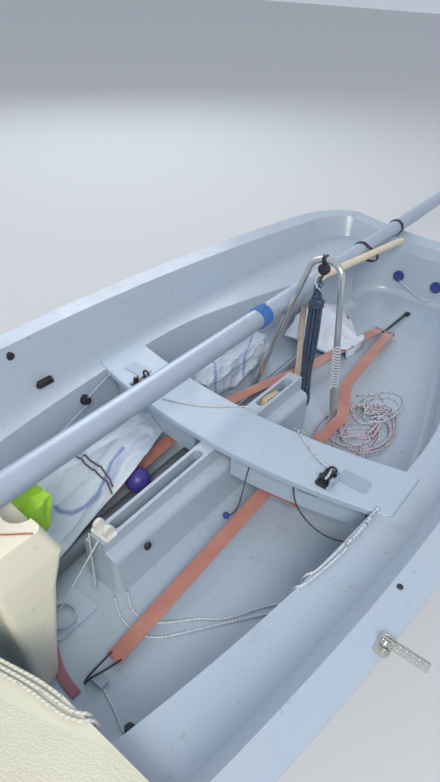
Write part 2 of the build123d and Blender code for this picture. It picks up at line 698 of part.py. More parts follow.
STOCK_TOP_Z = 578.0
TILLER_HOLE = (26.0, 34.0)
TILLER_Z = 535.0
with BuildPart() as stock:
    with BuildSketch(Plane.XZ):
        with BuildLine():
            Polyline((STOCK_FORE_X, 206), (STOCK_FORE_X, STOCK_TOP_Z), (STOCK_AFT_X + 30, STOCK_TOP_Z),
                     (STOCK_AFT_X, 430), (STOCK_AFT_X, 160), (STOCK_AFT_X + 30, 140), (-140, 140), close=True)
        make_face()
        fillet(vertices(), radius=12)
    extrude(amount=CHEEK_HALF, both=True)
    with BuildSketch(Plane.XZ):
        with BuildLine():
            Polyline((STOCK_FORE_X - 6, 284), (STOCK_AFT_X - 20, 284), (STOCK_AFT_X - 20, 100),
                     (STOCK_FORE_X + 20, 100), (STOCK_FORE_X + 20, 208), (STOCK_FORE_X - 6, 208), close=True)
        make_face()
    extrude(amount=BLADE_SLOT_HALF, both=True, mode=Mode.SUBTRACT)
    with Locations(Location((BLADE_PIVOT[0], 0, BLADE_PIVOT[1]), (90, 0, 0))):
        Cylinder(PINTLE_R, 100, mode=Mode.SUBTRACT)
    with BuildSketch(Plane.YZ.offset(STOCK_AFT_X - 20)):
        with Locations((0, TILLER_Z)):
            Rectangle(TILLER_HOLE[0], TILLER_HOLE[1])
    extrude(amount=200, mode=Mode.SUBTRACT)
write_piece(stock, "rudder_stock")

with BuildPart() as blade_bolt:
    with Locations(Location((BLADE_PIVOT[0], 0, BLADE_PIVOT[1]), (90, 0, 0))):
        Cylinder(PINTLE_R, 2 * CHEEK_HALF + 14)
    for side in (-1, 1):
        with Locations(Location((BLADE_PIVOT[0], side * (CHEEK_HALF + 2.5), BLADE_PIVOT[1]), (90, 0, 0))):
            Cylinder(10, 5)
write_piece(blade_bolt, "blade_bolt")

with BuildPart() as blade:
    pivot_x, pivot_z = BLADE_PIVOT
    with BuildSketch(Plane.XZ):
        with BuildLine():
            Polyline((pivot_x, pivot_z + BLADE_HEAD_R), (pivot_x - 70, pivot_z + 68),
                     (BLADE_TIP_X + 50, pivot_z + 46), (BLADE_TIP_X, pivot_z), (BLADE_TIP_X + 40, pivot_z - 84),
                     (pivot_x - 90, pivot_z - 94), (pivot_x, pivot_z - BLADE_HEAD_R))
            ThreePointArc((pivot_x, pivot_z - BLADE_HEAD_R), (pivot_x + BLADE_HEAD_R, pivot_z),
                          (pivot_x, pivot_z + BLADE_HEAD_R))
        make_face()
    extrude(amount=BLADE_HALF, both=True)
    with Locations(Location((pivot_x, 0, pivot_z), (90, 0, 0))):
        Cylinder(PINTLE_R + PIN_CLEAR, 40, mode=Mode.SUBTRACT)
write_piece(blade, "rudder_blade")

# Bow fitting with an eye, seated on the flange
BOW_EYE_X = 4170.0
with BuildPart() as bow_fitting:
    with BuildSketch(Plane.XY.offset(600)):
        with Locations((BOW_EYE_X, 0)):
            RectangleRounded(90, 34, 8)
    extrude(amount=sheer_z(BOW_EYE_X) + FLANGE_THICK + 4 - 600)
    eye_z = sheer_z(BOW_EYE_X) + FLANGE_THICK + 18
    with BuildSketch(Plane.XZ):
        with Locations((BOW_EYE_X, eye_z)):
            Circle(14)
        with Locations((BOW_EYE_X, eye_z - 14)):
            Rectangle(28, 28)
        with Locations((BOW_EYE_X, eye_z)):
            Circle(6, mode=Mode.SUBTRACT)
    extrude(amount=4, both=True)
    add(RIM_SPACE, mode=Mode.INTERSECT)
write_piece(bow_fitting, "bow_fitting")

# Shroud adjusters: a lug on the flange, a pin and a pair of drilled plates lying outboard
ADJUSTER_X = 2540.0
LUG_Y = 818.0
PLATE_LENGTH = 104.0
PLATE_PITCH = 14.0
with BuildPart() as adjusters:
    rim_z = sheer_z(ADJUSTER_X) + FLANGE_THICK
    for side in (-1, 1):
        with BuildSketch(Plane.XY.offset(560)):
            with Locations((ADJUSTER_X, side * LUG_Y)):
                RectangleRounded(58, 34, 8)
        extrude(amount=rim_z + 4 - 560)
        with BuildSketch(Plane.YZ.offset(ADJUSTER_X - 3)):
            with Locations((side * LUG_Y, rim_z + 10)):
                Rectangle(24, 32)
        extrude(amount=6)
        with Locations(Location((ADJUSTER_X, side * LUG_Y, rim_z + 17), (0, 90, 0))):
            Cylinder(3.5, 28)
        for offset_x in (-7.5, 5.0):
            with BuildSketch(Plane.YZ.offset(ADJUSTER_X + offset_x)):
                with Locations((side * (LUG_Y - 9 + PLATE_LENGTH / 2), rim_z + 17)):
                    RectangleRounded(PLATE_LENGTH, 19, 6)
                for hole in range(1, 7):
                    with Locations((side * (LUG_Y + hole * PLATE_PITCH), rim_z + 17)):
                        Circle(3, mode=Mode.SUBTRACT)
            extrude(amount=2.5)
    add(RIM_SPACE, mode=Mode.INTERSECT)
write_piece(adjusters, "shroud_adjusters")

# Jib cleats on the thwart, each with a ring aft of its cams and a wear plate outboard
CLEAT_Y = 413.0
CLEAT_X = 2022.0
WEAR_PLATE_AT = (1975.0, 480.0)
WEAR_PLATE_SIZE = (58.0, 100.0)
with BuildPart() as cleats:
    for side in (-1, 1):
        with BuildSketch(Plane.XY.offset(THWART_TOP_Z)):
            with Locations((WEAR_PLATE_AT[0], side * WEAR_PLATE_AT[1])):
                RectangleRounded(*WEAR_PLATE_SIZE, 8)
        extrude(amount=3)
        with BuildSketch(Plane.XY.offset(THWART_TOP_Z)):
            with Locations((CLEAT_X, side * CLEAT_Y)):
                RectangleRounded(88, 56, 10)
        extrude(amount=6)
        with BuildSketch(Plane.XY.offset(THWART_TOP_Z + 6)):
            for cam in (-1, 1):
                with Locations((CLEAT_X + 16, side * CLEAT_Y + cam * 15)):
                    Circle(11)
        extrude(amount=18)
        with Locations(Location((CLEAT_X - 26, side * CLEAT_Y, THWART_TOP_Z + 20), (0, 90, 0))):
            Torus(14, 4)
        with Locations((CLEAT_X - 26, side * CLEAT_Y, THWART_TOP_Z + 5)):
            Box(12, 30, 6)
write_piece(cleats, "jib_cleats")

# Small fairlead let into the starboard flare under the flange
LEAD_X = 2351.0
LEAD_Z = 581.0
LEAD_R = 15.0
LEAD_REACH = 44.0
with BuildPart() as side_lead:
    with Locations(Location((LEAD_X, -flare_y(LEAD_X, LEAD_Z) - LEAD_R, LEAD_Z), (90, 0, 0))):
        Cylinder(LEAD_R, LEAD_REACH)
    add(RECESS_INSIDE, mode=Mode.INTERSECT)
write_piece(side_lead, "side_fairlead")

# Small cleat on the starboard seat, close to the foot of the flare
CLAM_X = 2272.0
CLAM_BASE = (72.0, 26.0, 9.0)
CLAM_JAWS = (64.0, 18.0, 14.0)
CLAM_EDGE = 18.0
with BuildPart() as seat_cleat:
    clam_y = CLAM_EDGE - flare_y(CLAM_X, SEAT_Z)
    with BuildSketch(Plane.XY.offset(SEAT_Z)):
        with Locations((CLAM_X, clam_y)):
            RectangleRounded(CLAM_BASE[0], CLAM_BASE[1], 8)
    extrude(amount=CLAM_BASE[2])
    with BuildSketch(Plane.XY.offset(SEAT_Z + CLAM_BASE[2])):
        with Locations((CLAM_X, clam_y)):
            RectangleRounded(CLAM_JAWS[0], CLAM_JAWS[1], 6)
            Rectangle(CLAM_BASE[0], 5, mode=Mode.SUBTRACT)
    extrude(amount=CLAM_JAWS[2])
write_piece(seat_cleat, "seat_cleat")

# Block on the starboard tank wall under the seat's edge
WALL_BLOCK_X = 2190.0
WALL_BLOCK_Z = 384.0
WALL_PAD_R = 20.0
WALL_PAD_PROUD = 12.0
WALL_SHEAVE_R = 17.0
WALL_SHEAVE_WIDE = 14.0
with BuildPart() as seat_block:
    wall_y = -well_y(WALL_BLOCK_X, WALL_BLOCK_Z)
    with Locations(Location((WALL_BLOCK_X, wall_y, WALL_BLOCK_Z), (90, 0, 0))):
        Cylinder(WALL_PAD_R, 2 * WALL_PAD_PROUD)
    add(WELL_INSIDE, mode=Mode.INTERSECT)
    sheave_y = wall_y + WALL_PAD_PROUD + WALL_SHEAVE_WIDE / 2 - 1
    with Locations(Location((WALL_BLOCK_X, sheave_y, WALL_BLOCK_Z), (90, 0, 0))):
        Cylinder(WALL_SHEAVE_R, WALL_SHEAVE_WIDE)
write_piece(seat_block, "seat_block")

# Drain bungs in the transom's inner face
BUNG_Z = 308.0
BUNG_Y = (-170.0, 57.0)
BUNG_R = 32.0
BUNG_PROUD = 9.0
BUNG_KNOB = (20.0, 18.0)
BUNG_WALL_X = TRANSOM_X + FLANGE_WIDTH + FLARE_RUN + 4 + tan(radians(WALL_DEG)) * (SEAT_Z + 1 - BUNG_Z)
with BuildPart() as bungs:
    for y in BUNG_Y:
        with Locations(Location((BUNG_WALL_X, y, BUNG_Z), (0, 90, 0))):
            Cylinder(BUNG_R, 2 * BUNG_PROUD)
        with Locations(Location((BUNG_WALL_X + BUNG_PROUD + BUNG_KNOB[1] / 2 - 1, y, BUNG_Z), (0, 90, 0))):
            Cylinder(*BUNG_KNOB)
    add(WELL_INSIDE, mode=Mode.INTERSECT)
write_piece(bungs, "drain_bungs")

# Control sheaves at the head of the case, on a plate across its upstand
HEAD_X = CASE_FORE_X - 30
HEAD_Z = CASE_FORE_Z + 2.6
with BuildPart() as case_head:
    with BuildSketch(Plane.XY.offset(HEAD_Z)):
        with Locations((HEAD_X, 0)):
            RectangleRounded(46, 74, 10)
    extrude(amount=5)
    for y in (-21, 21):
        with Locations(Location((HEAD_X, y, HEAD_Z + 22), (90, 0, 0))):
            Cylinder(19, 12)
write_piece(case_head, "case_head_blocks")

KNOB_X = 2512.0
with BuildPart() as knob:
    with Locations(Location((KNOB_X, CASE_BASE_HALF, 330), (90, 0, 0))):
        Cylinder(11, 60)
    add(case.part, mode=Mode.SUBTRACT)
    split(bisect_by=Plane.XZ.offset(-CASE_TOP_HALF - 10), keep=Keep.BOTTOM)
write_piece(knob, "case_knob")

# Mainsheet block hanging from the hoop by a strap round the tube
HOOP_MID = hoop_path.line @ 0.5
STROP_R = HOOP_R + 0.7
BLOCK_R = 22.0
with BuildPart() as hoop_block:
    with BuildSketch(Plane(origin=HOOP_MID, z_dir=hoop_path.line % 0.5)):
        Circle(STROP_R + 5)
        Circle(STROP_R, mode=Mode.SUBTRACT)
    extrude(amount=7, both=True)
    with BuildSketch(Plane.YZ.offset(HOOP_MID.X - 9)):
        with Locations((HOOP_MID.Y, HOOP_MID.Z - STROP_R - 3 - BLOCK_R)):
            Circle(BLOCK_R)
    extrude(amount=18)
write_piece(hoop_block, "mainsheet_block")

# Mainsheet made up into a hank: height, shift from under the block and radius of each station
HANK_TOP_Z = HOOP_MID.Z - STROP_R - 3 - 2 * BLOCK_R - JOINT_GAP
HANK_STATIONS = (
    (HANK_TOP_Z, 0, 0, 7),
    (770, 4, -6, 8),
    (752, 6, -8, 24),
    (600, 7, -9, 28),
    (520, 8, -9, 21),
    (390, 10, -9, 20),
    (250, 12, -6, 33),
    (216, 12, -4, 26),
    (207, 12, -4, 12),
)
with BuildPart() as hank:
    for z, forward, across, radius in HANK_STATIONS:
        with BuildSketch(Plane.XY.offset(z)):
            with Locations((HOOP_MID.X + forward, HOOP_MID.Y + across)):
                Circle(radius)
    loft(ruled=True)
write_piece(hank, "mainsheet_hank")

# Toe straps: a band in plan cut by a thin side profile, so each lies as one flat web
STRAP_HALF = 25.0
STRAP_THICK = 3.0
STRAP_PORT = ((2860.0, 216.0), (1800.0, 216.0), (1505.0, 207.0), (1270.0, 103.0), (640.0, 27.0))
STRAP_STARBOARD = ((2860.0, 216.0), (1850.0, 216.0), (1505.0, 160.0), (1270.0, 103.0), (640.0, 27.0))
STRAP_UNDER = ((2860.0, 214.0), (2080.0, 300.0), (1800.0, 296.0), (640.0, 226.0))
with BuildPart() as straps:
    for side, plan in ((-1, STRAP_STARBOARD), (1, STRAP_PORT)):
        with BuildSketch(Plane.XY.offset(FLOOR_Z)):
            inner = [(x, side * (y - STRAP_HALF)) for x, y in plan]
            outer = [(x, side * (y + STRAP_HALF)) for x, y in plan]
            with BuildLine():
                Polyline(*inner, *reversed(outer), close=True)
            make_face()
    extrude(amount=150)
    with BuildSketch(Plane.XZ):
        with BuildLine():
            over = [(x, z + STRAP_THICK) for x, z in STRAP_UNDER]
            Polyline(*STRAP_UNDER, *reversed(over), close=True)
        make_face()
    extrude(amount=400, both=True, mode=Mode.INTERSECT)
write_piece(straps, "toe_straps")

# What holds the straps down: a pad at each fore end, a bar and a lashed eye aft
FORE_ANCHOR = STRAP_PORT[0]
AFT_ANCHOR_X = STRAP_PORT[-1][0]
EYE_X = 350.0
with BuildPart() as anchors:
    with BuildSketch(Plane.XY.offset(FLOOR_Z)):
        for side in (-1, 1):
            with Locations((FORE_ANCHOR[0] - 14, side * FORE_ANCHOR[1])):
                RectangleRounded(30, 62, 6)
    extrude(amount=STRAP_UNDER[0][1] - FLOOR_Z)
    with BuildSketch(Plane.XY.offset(FLOOR_Z)):
        with Locations((EYE_X, 0)):
            RectangleRounded(46, 30, 7)
    extrude(amount=6)
    with BuildSketch(Plane.XZ):
        with BuildLine():
            Polyline((AFT_ANCHOR_X - 2, STRAP_UNDER[-1][1] - 1), (AFT_ANCHOR_X + 16, STRAP_UNDER[-1][1] - 1),
                     (AFT_ANCHOR_X + 16, STRAP_UNDER[-1][1] - 9), (EYE_X + 8, FLOOR_Z + 5),
                     (EYE_X - 8, FLOOR_Z + 5), (EYE_X - 8, FLOOR_Z + 16), close=True)
        make_face()
    extrude(amount=5, both=True)
    with BuildSketch(Plane.XY.offset(STRAP_UNDER[-1][1] - 9)):
        with Locations((AFT_ANCHOR_X + 8, 0)):
            Rectangle(16, 108)
    extrude(amount=9 - JOINT_GAP)
write_piece(anchors, "strap_anchors")

# Sails bundled loosely on the floor to starboard, the forward one lapping over strap and boom
SAIL_LAP_Z = 308.0
with BuildPart() as sail_lap:
    with BuildSketch(Plane.XY.offset(SAIL_LAP_Z)):
        with BuildLine():
            Polyline((THWART_FORE_X + 38, -340), (THWART_FORE_X + 38, -208), (2380, -203), (2590, -210),
                     (2590, -340), close=True)
        make_face()
        fillet(vertices(), radius=30)
    extrude(amount=84)
    fillet(sail_lap.edges().filter_by(Plane.XY), radius=26)
with BuildPart() as sail_forward:
    with BuildSketch(Plane.XY.offset(FLOOR_Z + JOINT_GAP)):
        with BuildLine():
            Polyline((THWART_FORE_X + 11, -470), (THWART_FORE_X + 26, -262), (2380, -250), (2630, -262),
                     (2640, -440), (2430, -486), close=True)
        make_face()
        fillet(vertices(), radius=60)
    extrude(amount=225)
    fillet(sail_forward.edges().filter_by(Plane.XY), radius=48)
    add(sail_lap.part)
write_piece(sail_forward, "sail_bundle_forward")

with BuildPart() as sail_aft:
    with BuildSketch(Plane.XY.offset(FLOOR_Z + JOINT_GAP)):
        with BuildLine():
            Polyline((1235, -420), (1250, -292), (1500, -286), (THWART_END_X - 28, -292),
                     (THWART_END_X - 23, -440), (1480, -460), close=True)
        make_face()
        fillet(vertices(), radius=44)
    extrude(amount=170)
    fillet(sail_aft.edges().filter_by(Plane.XY), radius=40)
write_piece(sail_aft, "sail_bundle_aft")

# Tiller, unshipped: its fore end on the starboard strap and its after end in the bag
tiller_run = Vector(*TILLER_FORE) - Vector(*TILLER_AFT)
tiller_plane = Plane(origin=TILLER_AFT, x_dir=(0, 0, 1), z_dir=tiller_run)
with BuildPart() as tiller:
    with BuildSketch(tiller_plane):
        RectangleRounded(TILLER_DEEP, TILLER_WIDE, 6)
    extrude(amount=tiller_run.length)
write_piece(tiller, "tiller")

# Bag lying over the after end of the boom and pressed in by the tiller
with BuildPart() as bag:
    with BuildSketch(Plane.XY.offset(FLOOR_Z + JOINT_GAP)):
        with BuildLine():
            Polyline((640, -300), (760, -118), (900, -98), (1065, -170), (1010, -350), (820, -352), close=True)
        make_face()
        fillet(vertices(), radius=45)
    extrude(amount=100)
    fillet(bag.edges().filter_by(Plane.XY), radius=30)
    with BuildSketch(boom_plane):
        Circle(BOOM_R + 1)
    extrude(amount=(boom_aft - boom_fore).length + 36, mode=Mode.SUBTRACT)
    with BuildSketch(Plane.XY):
        with BuildLine():
            Polyline((boom_fore.X, boom_fore.Y - BOOM_R - 1), (boom_fore.X, boom_fore.Y + BOOM_R + 1),
                     (660, boom_aft.Y + BOOM_R + 4), (660, boom_aft.Y - BOOM_R - 4), close=True)
        make_face()
    extrude(amount=boom_aft.Z, mode=Mode.SUBTRACT)
    with BuildSketch(tiller_plane):
        with Locations((30, 0)):
            Rectangle(TILLER_DEEP + 60 + 2 * JOINT_GAP, TILLER_WIDE + 2 * JOINT_GAP)
    extrude(amount=tiller_run.length, mode=Mode.SUBTRACT)
write_piece(bag, "sail_bag")

# Bright cloth bundled against the mast gate
with BuildPart() as cloth:
    with BuildSketch(Plane.XZ.offset(62)):
        with BuildLine():
            Polyline((2762, FLOOR_Z + JOINT_GAP), (2884, FLOOR_Z + JOINT_GAP), (2858, 360), (2826, 510),
                     (2782, 505), (2766, 380), close=True)
        make_face()
        fillet(vertices(), radius=18)
    extrude(amount=122)
    fillet(cloth.faces().filter_by(Axis.Y).edges(), radius=14)
write_piece(cloth, "lime_cloth")

# Coiled rope heaped on the floor to port
with BuildPart() as pile:
    with BuildSketch(Plane.XY.offset(FLOOR_Z + JOINT_GAP)):
        with BuildLine():
            Polyline((1055, 150), (1430, 112), (1452, 208), (1648, 222), (1640, 390), (1320, 428), (1100, 330),
                     close=True)
        make_face()
        fillet(vertices(), radius=36)
    extrude(amount=44)
    fillet(pile.edges().group_by(Axis.Z)[-1], radius=16)
write_piece(pile, "rope_pile")
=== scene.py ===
"""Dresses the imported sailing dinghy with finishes, cloth and cordage, and sets the studio round it.

Lengths are metres in the row frame: X forward, Y to port, Z up. Every piece that is added sits at
the origin with its place in its mesh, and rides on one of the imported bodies.
"""

import json
import logging
import math
from dataclasses import dataclass
from enum import Enum
from typing import Callable, Optional, Sequence, Union

import bpy
from mathutils import Matrix, Vector, noise
from mathutils.bvhtree import BVHTree

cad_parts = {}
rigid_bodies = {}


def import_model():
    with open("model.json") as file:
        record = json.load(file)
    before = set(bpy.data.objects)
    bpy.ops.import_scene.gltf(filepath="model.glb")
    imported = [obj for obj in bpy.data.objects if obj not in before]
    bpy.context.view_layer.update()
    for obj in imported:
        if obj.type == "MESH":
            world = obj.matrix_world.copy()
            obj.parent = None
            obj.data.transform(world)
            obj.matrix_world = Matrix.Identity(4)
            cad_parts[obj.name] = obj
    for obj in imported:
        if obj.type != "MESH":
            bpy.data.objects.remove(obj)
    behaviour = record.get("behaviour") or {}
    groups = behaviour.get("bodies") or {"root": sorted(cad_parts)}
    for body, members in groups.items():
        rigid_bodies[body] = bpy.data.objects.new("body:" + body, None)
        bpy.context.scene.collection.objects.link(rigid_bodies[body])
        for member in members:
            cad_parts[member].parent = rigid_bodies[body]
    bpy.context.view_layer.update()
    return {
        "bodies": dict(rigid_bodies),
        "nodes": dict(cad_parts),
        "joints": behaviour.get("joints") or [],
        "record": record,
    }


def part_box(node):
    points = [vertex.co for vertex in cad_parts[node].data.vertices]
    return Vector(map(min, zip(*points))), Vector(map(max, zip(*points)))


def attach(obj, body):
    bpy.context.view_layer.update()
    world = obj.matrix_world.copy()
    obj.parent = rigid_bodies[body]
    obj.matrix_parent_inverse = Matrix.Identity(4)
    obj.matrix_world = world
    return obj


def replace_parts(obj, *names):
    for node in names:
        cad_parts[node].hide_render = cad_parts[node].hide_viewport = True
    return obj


LOG = logging.getLogger("dinghy")
LAY = "lay"
SEAM_AND_SHADE = "seam"
NOTCH_CENTRE_X = 1.8997
NOTCH_RADIUS = 1.1703
NOTCH_EDGE = (0.055, 0.062)
PANEL_ALONG = 22
PANEL_ACROSS = 20
PANEL_THICK = 0.0012
BODY = "boat"

Point = tuple[float, float, float]
Spot = tuple[float, float]
Mark = tuple[float, float, tuple[Spot, ...]]
Color = tuple[float, float, float]


def clamp(value: float) -> float:
    """Value kept between 0 and 1."""
    return min(1.0, max(0.0, value))


def dimmed(color: Color, share: float) -> Color:
    """Colour with every channel at a share of its strength."""
    return tuple(value * share for value in color)


def around(x: float, y: float, reach: float, angle: float, height: float) -> Point:
    """Point at a reach and an angle round an upright line."""
    return x + reach * math.cos(angle), y + reach * math.sin(angle), height


def activate(piece: bpy.types.Object) -> None:
    """Makes one object the active one, and the only one selected."""
    bpy.ops.object.select_all(action="DESELECT")
    piece.select_set(True)
    bpy.context.view_layer.objects.active = piece


class Kind(Enum):
    """Families of surface, each with its own shader graph."""

    GELCOAT = "gelcoat"
    NONSLIP = "nonslip"
    METAL = "metal"
    PLASTIC = "plastic"
    WOOD = "wood"
    ROPE = "rope"
    WEBBING = "webbing"
    SAIL = "sail"
    CLOTH = "cloth"


@dataclass(frozen=True)
class Finish:
    """What one surface looks like.

    Args:
        name: Name of the material.
        kind: Family of shader graph.
        color: Main colour, linear.
        accent: Second colour of the pattern, stain or fleck; on sailcloth also the colour of painted shade bands.
        roughness: Middle roughness.
        scale: Size of the pattern's repeat, in metres.
        grime: How strongly soiling shows, 0 to 1.
        split: Axis and distance from the middle past which the second colour takes over, none for one colour.
    """

    name: str
    kind: Kind
    color: Color
    accent: Color = (0.30, 0.24, 0.17)
    roughness: float = 0.4
    scale: float = 0.01
    grime: float = 0.3
    split: Optional[tuple[str, float]] = None


# White gelcoat with painted shade: its colour is the blue-grey of white in sky shade.
WHITE_PAINTED_SHADE = Finish("gelcoat_white_painted_shade", Kind.GELCOAT, (0.385, 0.465, 0.56), (0.20, 0.20, 0.18), roughness=0.30, grime=0.55)
# White gelcoat with painted sunlight: its warm cream is white in sun, the lit copy of the shaded gelcoat.
WHITE_PAINTED_SUN = Finish("gelcoat_cream", Kind.GELCOAT, (0.79, 0.77, 0.63), (0.34, 0.30, 0.20), roughness=0.32, grime=0.35)
# Deck colour: cream gelcoat with painted sunlight in it, warmer and brighter than the shaded gelcoat.
DECK = Finish("gelcoat_deck", Kind.NONSLIP, (0.65, 0.64, 0.51), roughness=0.50, scale=0.0050)
# Thwart gelcoat with painted shade: white tinted blue-grey as in sky shade.
THWART = Finish("gelcoat_thwart", Kind.GELCOAT, (0.375, 0.475, 0.60), (0.20, 0.20, 0.18), roughness=0.38, grime=0.35)
STEEL = Finish("stainless", Kind.METAL, (0.64, 0.65, 0.63), roughness=0.17, grime=0.2)
# Pale spar colour with painted shade: tinted blue-grey as in sky shade.
SPAR_PALE = Finish("spar_pale", Kind.METAL, (0.46, 0.53, 0.63), roughness=0.42, grime=0.25)
SPAR_GREY = Finish("spar_grey", Kind.METAL, (0.22, 0.25, 0.29), roughness=0.40, grime=0.4)
POLE_CREAM = Finish("pole_cream", Kind.PLASTIC, (0.68, 0.60, 0.45), roughness=0.45, grime=0.4)
BLACK = Finish("black_plastic", Kind.PLASTIC, (0.022, 0.022, 0.025), roughness=0.42, grime=0.2)
CLEAT = Finish("cleat_black", Kind.PLASTIC, (0.022, 0.022, 0.025), (0.29, 0.37, 0.46), roughness=0.28, grime=0.2,
               split=("Y", 0.4285))
ANCHOR = Finish("anchor_black", Kind.PLASTIC, (0.022, 0.022, 0.025), (0.33, 0.40, 0.48), roughness=0.45, grime=0.2,
                split=("X", 1.5))
PALE_PLASTIC = Finish("pale_plastic", Kind.PLASTIC, (0.66, 0.66, 0.62), roughness=0.40, grime=0.35)
PURPLE = Finish("ball_purple", Kind.PLASTIC, (0.050, 0.035, 0.21), roughness=0.38, grime=0.2)
BUNG = Finish("bung_blue", Kind.PLASTIC, (0.04, 0.06, 0.25), roughness=0.45, grime=0.15)
BOARD = Finish("board_wood", Kind.WOOD, (0.58, 0.46, 0.30), (0.36, 0.25, 0.14), roughness=0.5, scale=0.05)
TILLER_WOOD = Finish("tiller_wood", Kind.WOOD, (0.46, 0.38, 0.27), (0.28, 0.22, 0.15), roughness=0.5, scale=0.02)
NAVY_ROPE = Finish("rope_navy", Kind.ROPE, (0.018, 0.035, 0.075), (0.05, 0.11, 0.20), roughness=0.85, scale=0.008)
BLUE_CORD = Finish("cord_blue", Kind.ROPE, (0.02, 0.10, 0.34), (0.05, 0.22, 0.55), roughness=0.8, scale=0.005)
BLACK_CORD = Finish("cord_black", Kind.ROPE, (0.015, 0.015, 0.018), (0.06, 0.06, 0.07), roughness=0.85, scale=0.005)
SPECKLED = Finish("rope_speckled", Kind.ROPE, (0.50, 0.50, 0.56), (0.20, 0.03, 0.09), roughness=0.85, scale=0.009)
# Pale rope colour with painted shade, tinted blue-grey; its dark flecks are its own.
FLECKED = Finish("rope_flecked", Kind.ROPE, (0.58, 0.61, 0.66), (0.09, 0.11, 0.17), roughness=0.85, scale=0.009)
RED_CORD = Finish("cord_red", Kind.ROPE, (0.34, 0.07, 0.06), (0.50, 0.26, 0.20), roughness=0.85, scale=0.005)
WHITE_CORD = Finish("cord_white", Kind.ROPE, (0.60, 0.64, 0.68), (0.34, 0.38, 0.44), roughness=0.85, scale=0.005)
PLAIN_ROPE = Finish("rope_plain", Kind.ROPE, (0.64, 0.64, 0.58), (0.40, 0.39, 0.35), roughness=0.88, scale=0.009)
WEBBING = Finish("webbing_red", Kind.WEBBING, (0.36, 0.125, 0.10), (0.46, 0.23, 0.18), roughness=0.85, scale=0.0022)
TAPE_PINK = Finish("webbing_pink", Kind.WEBBING, (0.30, 0.10, 0.13), (0.38, 0.17, 0.19), roughness=0.85, scale=0.0022)
BLACK_WEB_CORD = Finish("tape_black", Kind.ROPE, (0.06, 0.06, 0.075), (0.15, 0.14, 0.16), roughness=0.85, scale=0.006)
# White sailcloth with painted shade, tinted blue-grey; its accent colours the seam tape and the painted shade bands.
SAILCLOTH = Finish("sail_cloth", Kind.SAIL, (0.53, 0.60, 0.68), (0.16, 0.23, 0.46), roughness=0.45, scale=0.0015)
# White bag cloth with painted shade, tinted blue-grey; its accent colours the edging.
BAG_CLOTH = Finish("bag_cloth", Kind.SAIL, (0.58, 0.64, 0.72), (0.10, 0.18, 0.42), roughness=0.7, scale=0.002)
LIME = Finish("lime_cloth", Kind.CLOTH, (0.36, 0.68, 0.04), (0.30, 0.50, 0.02), roughness=0.7, scale=0.002)

FINISH_NODES: tuple[tuple[Finish, str], ...] = (
    (WHITE_PAINTED_SHADE, "hull cockpit_moulding gunwale_flange centre_case mast_step"),
    (DECK, "foredeck"),
    (THWART, "thwart"),
    (WHITE_PAINTED_SUN, "mast_gate"),
    (STEEL, "centreboard_pin mainsheet_hoop hoop_feet mast_head "
            "gudgeons bow_fitting shroud_adjusters pintles blade_bolt"),
    (BLACK, "mainsheet_block mast_heel boom_ends side_fairlead seat_cleat seat_block case_knob"),
    (PALE_PLASTIC, "case_head_blocks rudder_stock"),
    (BUNG, "drain_bungs"),
    (PURPLE, "purple_ball"),
    (CLEAT, "jib_cleats"),
    (ANCHOR, "strap_anchors"),
    (SPAR_PALE, "mast_tube"),
    (SPAR_GREY, "boom_tube"),
    (POLE_CREAM, "pole"),
    (BOARD, "centreboard rudder_blade"),
    (TILLER_WOOD, "tiller"),
    (WEBBING, "toe_straps"),
    (NAVY_ROPE, "mainsheet_hank"),
    (BLUE_CORD, "blue_lashing"),
    (BLACK_CORD, "black_lashings"),
    (SPECKLED, "rope_pile"),
    (SAILCLOTH, "sail_bundle_forward sail_bundle_aft"),
    (BAG_CLOTH, "sail_bag"),
    (LIME, "lime_cloth"),
)
NODE_FINISH: dict[str, Finish] = {node: finish for finish, nodes in FINISH_NODES for node in nodes.split()}


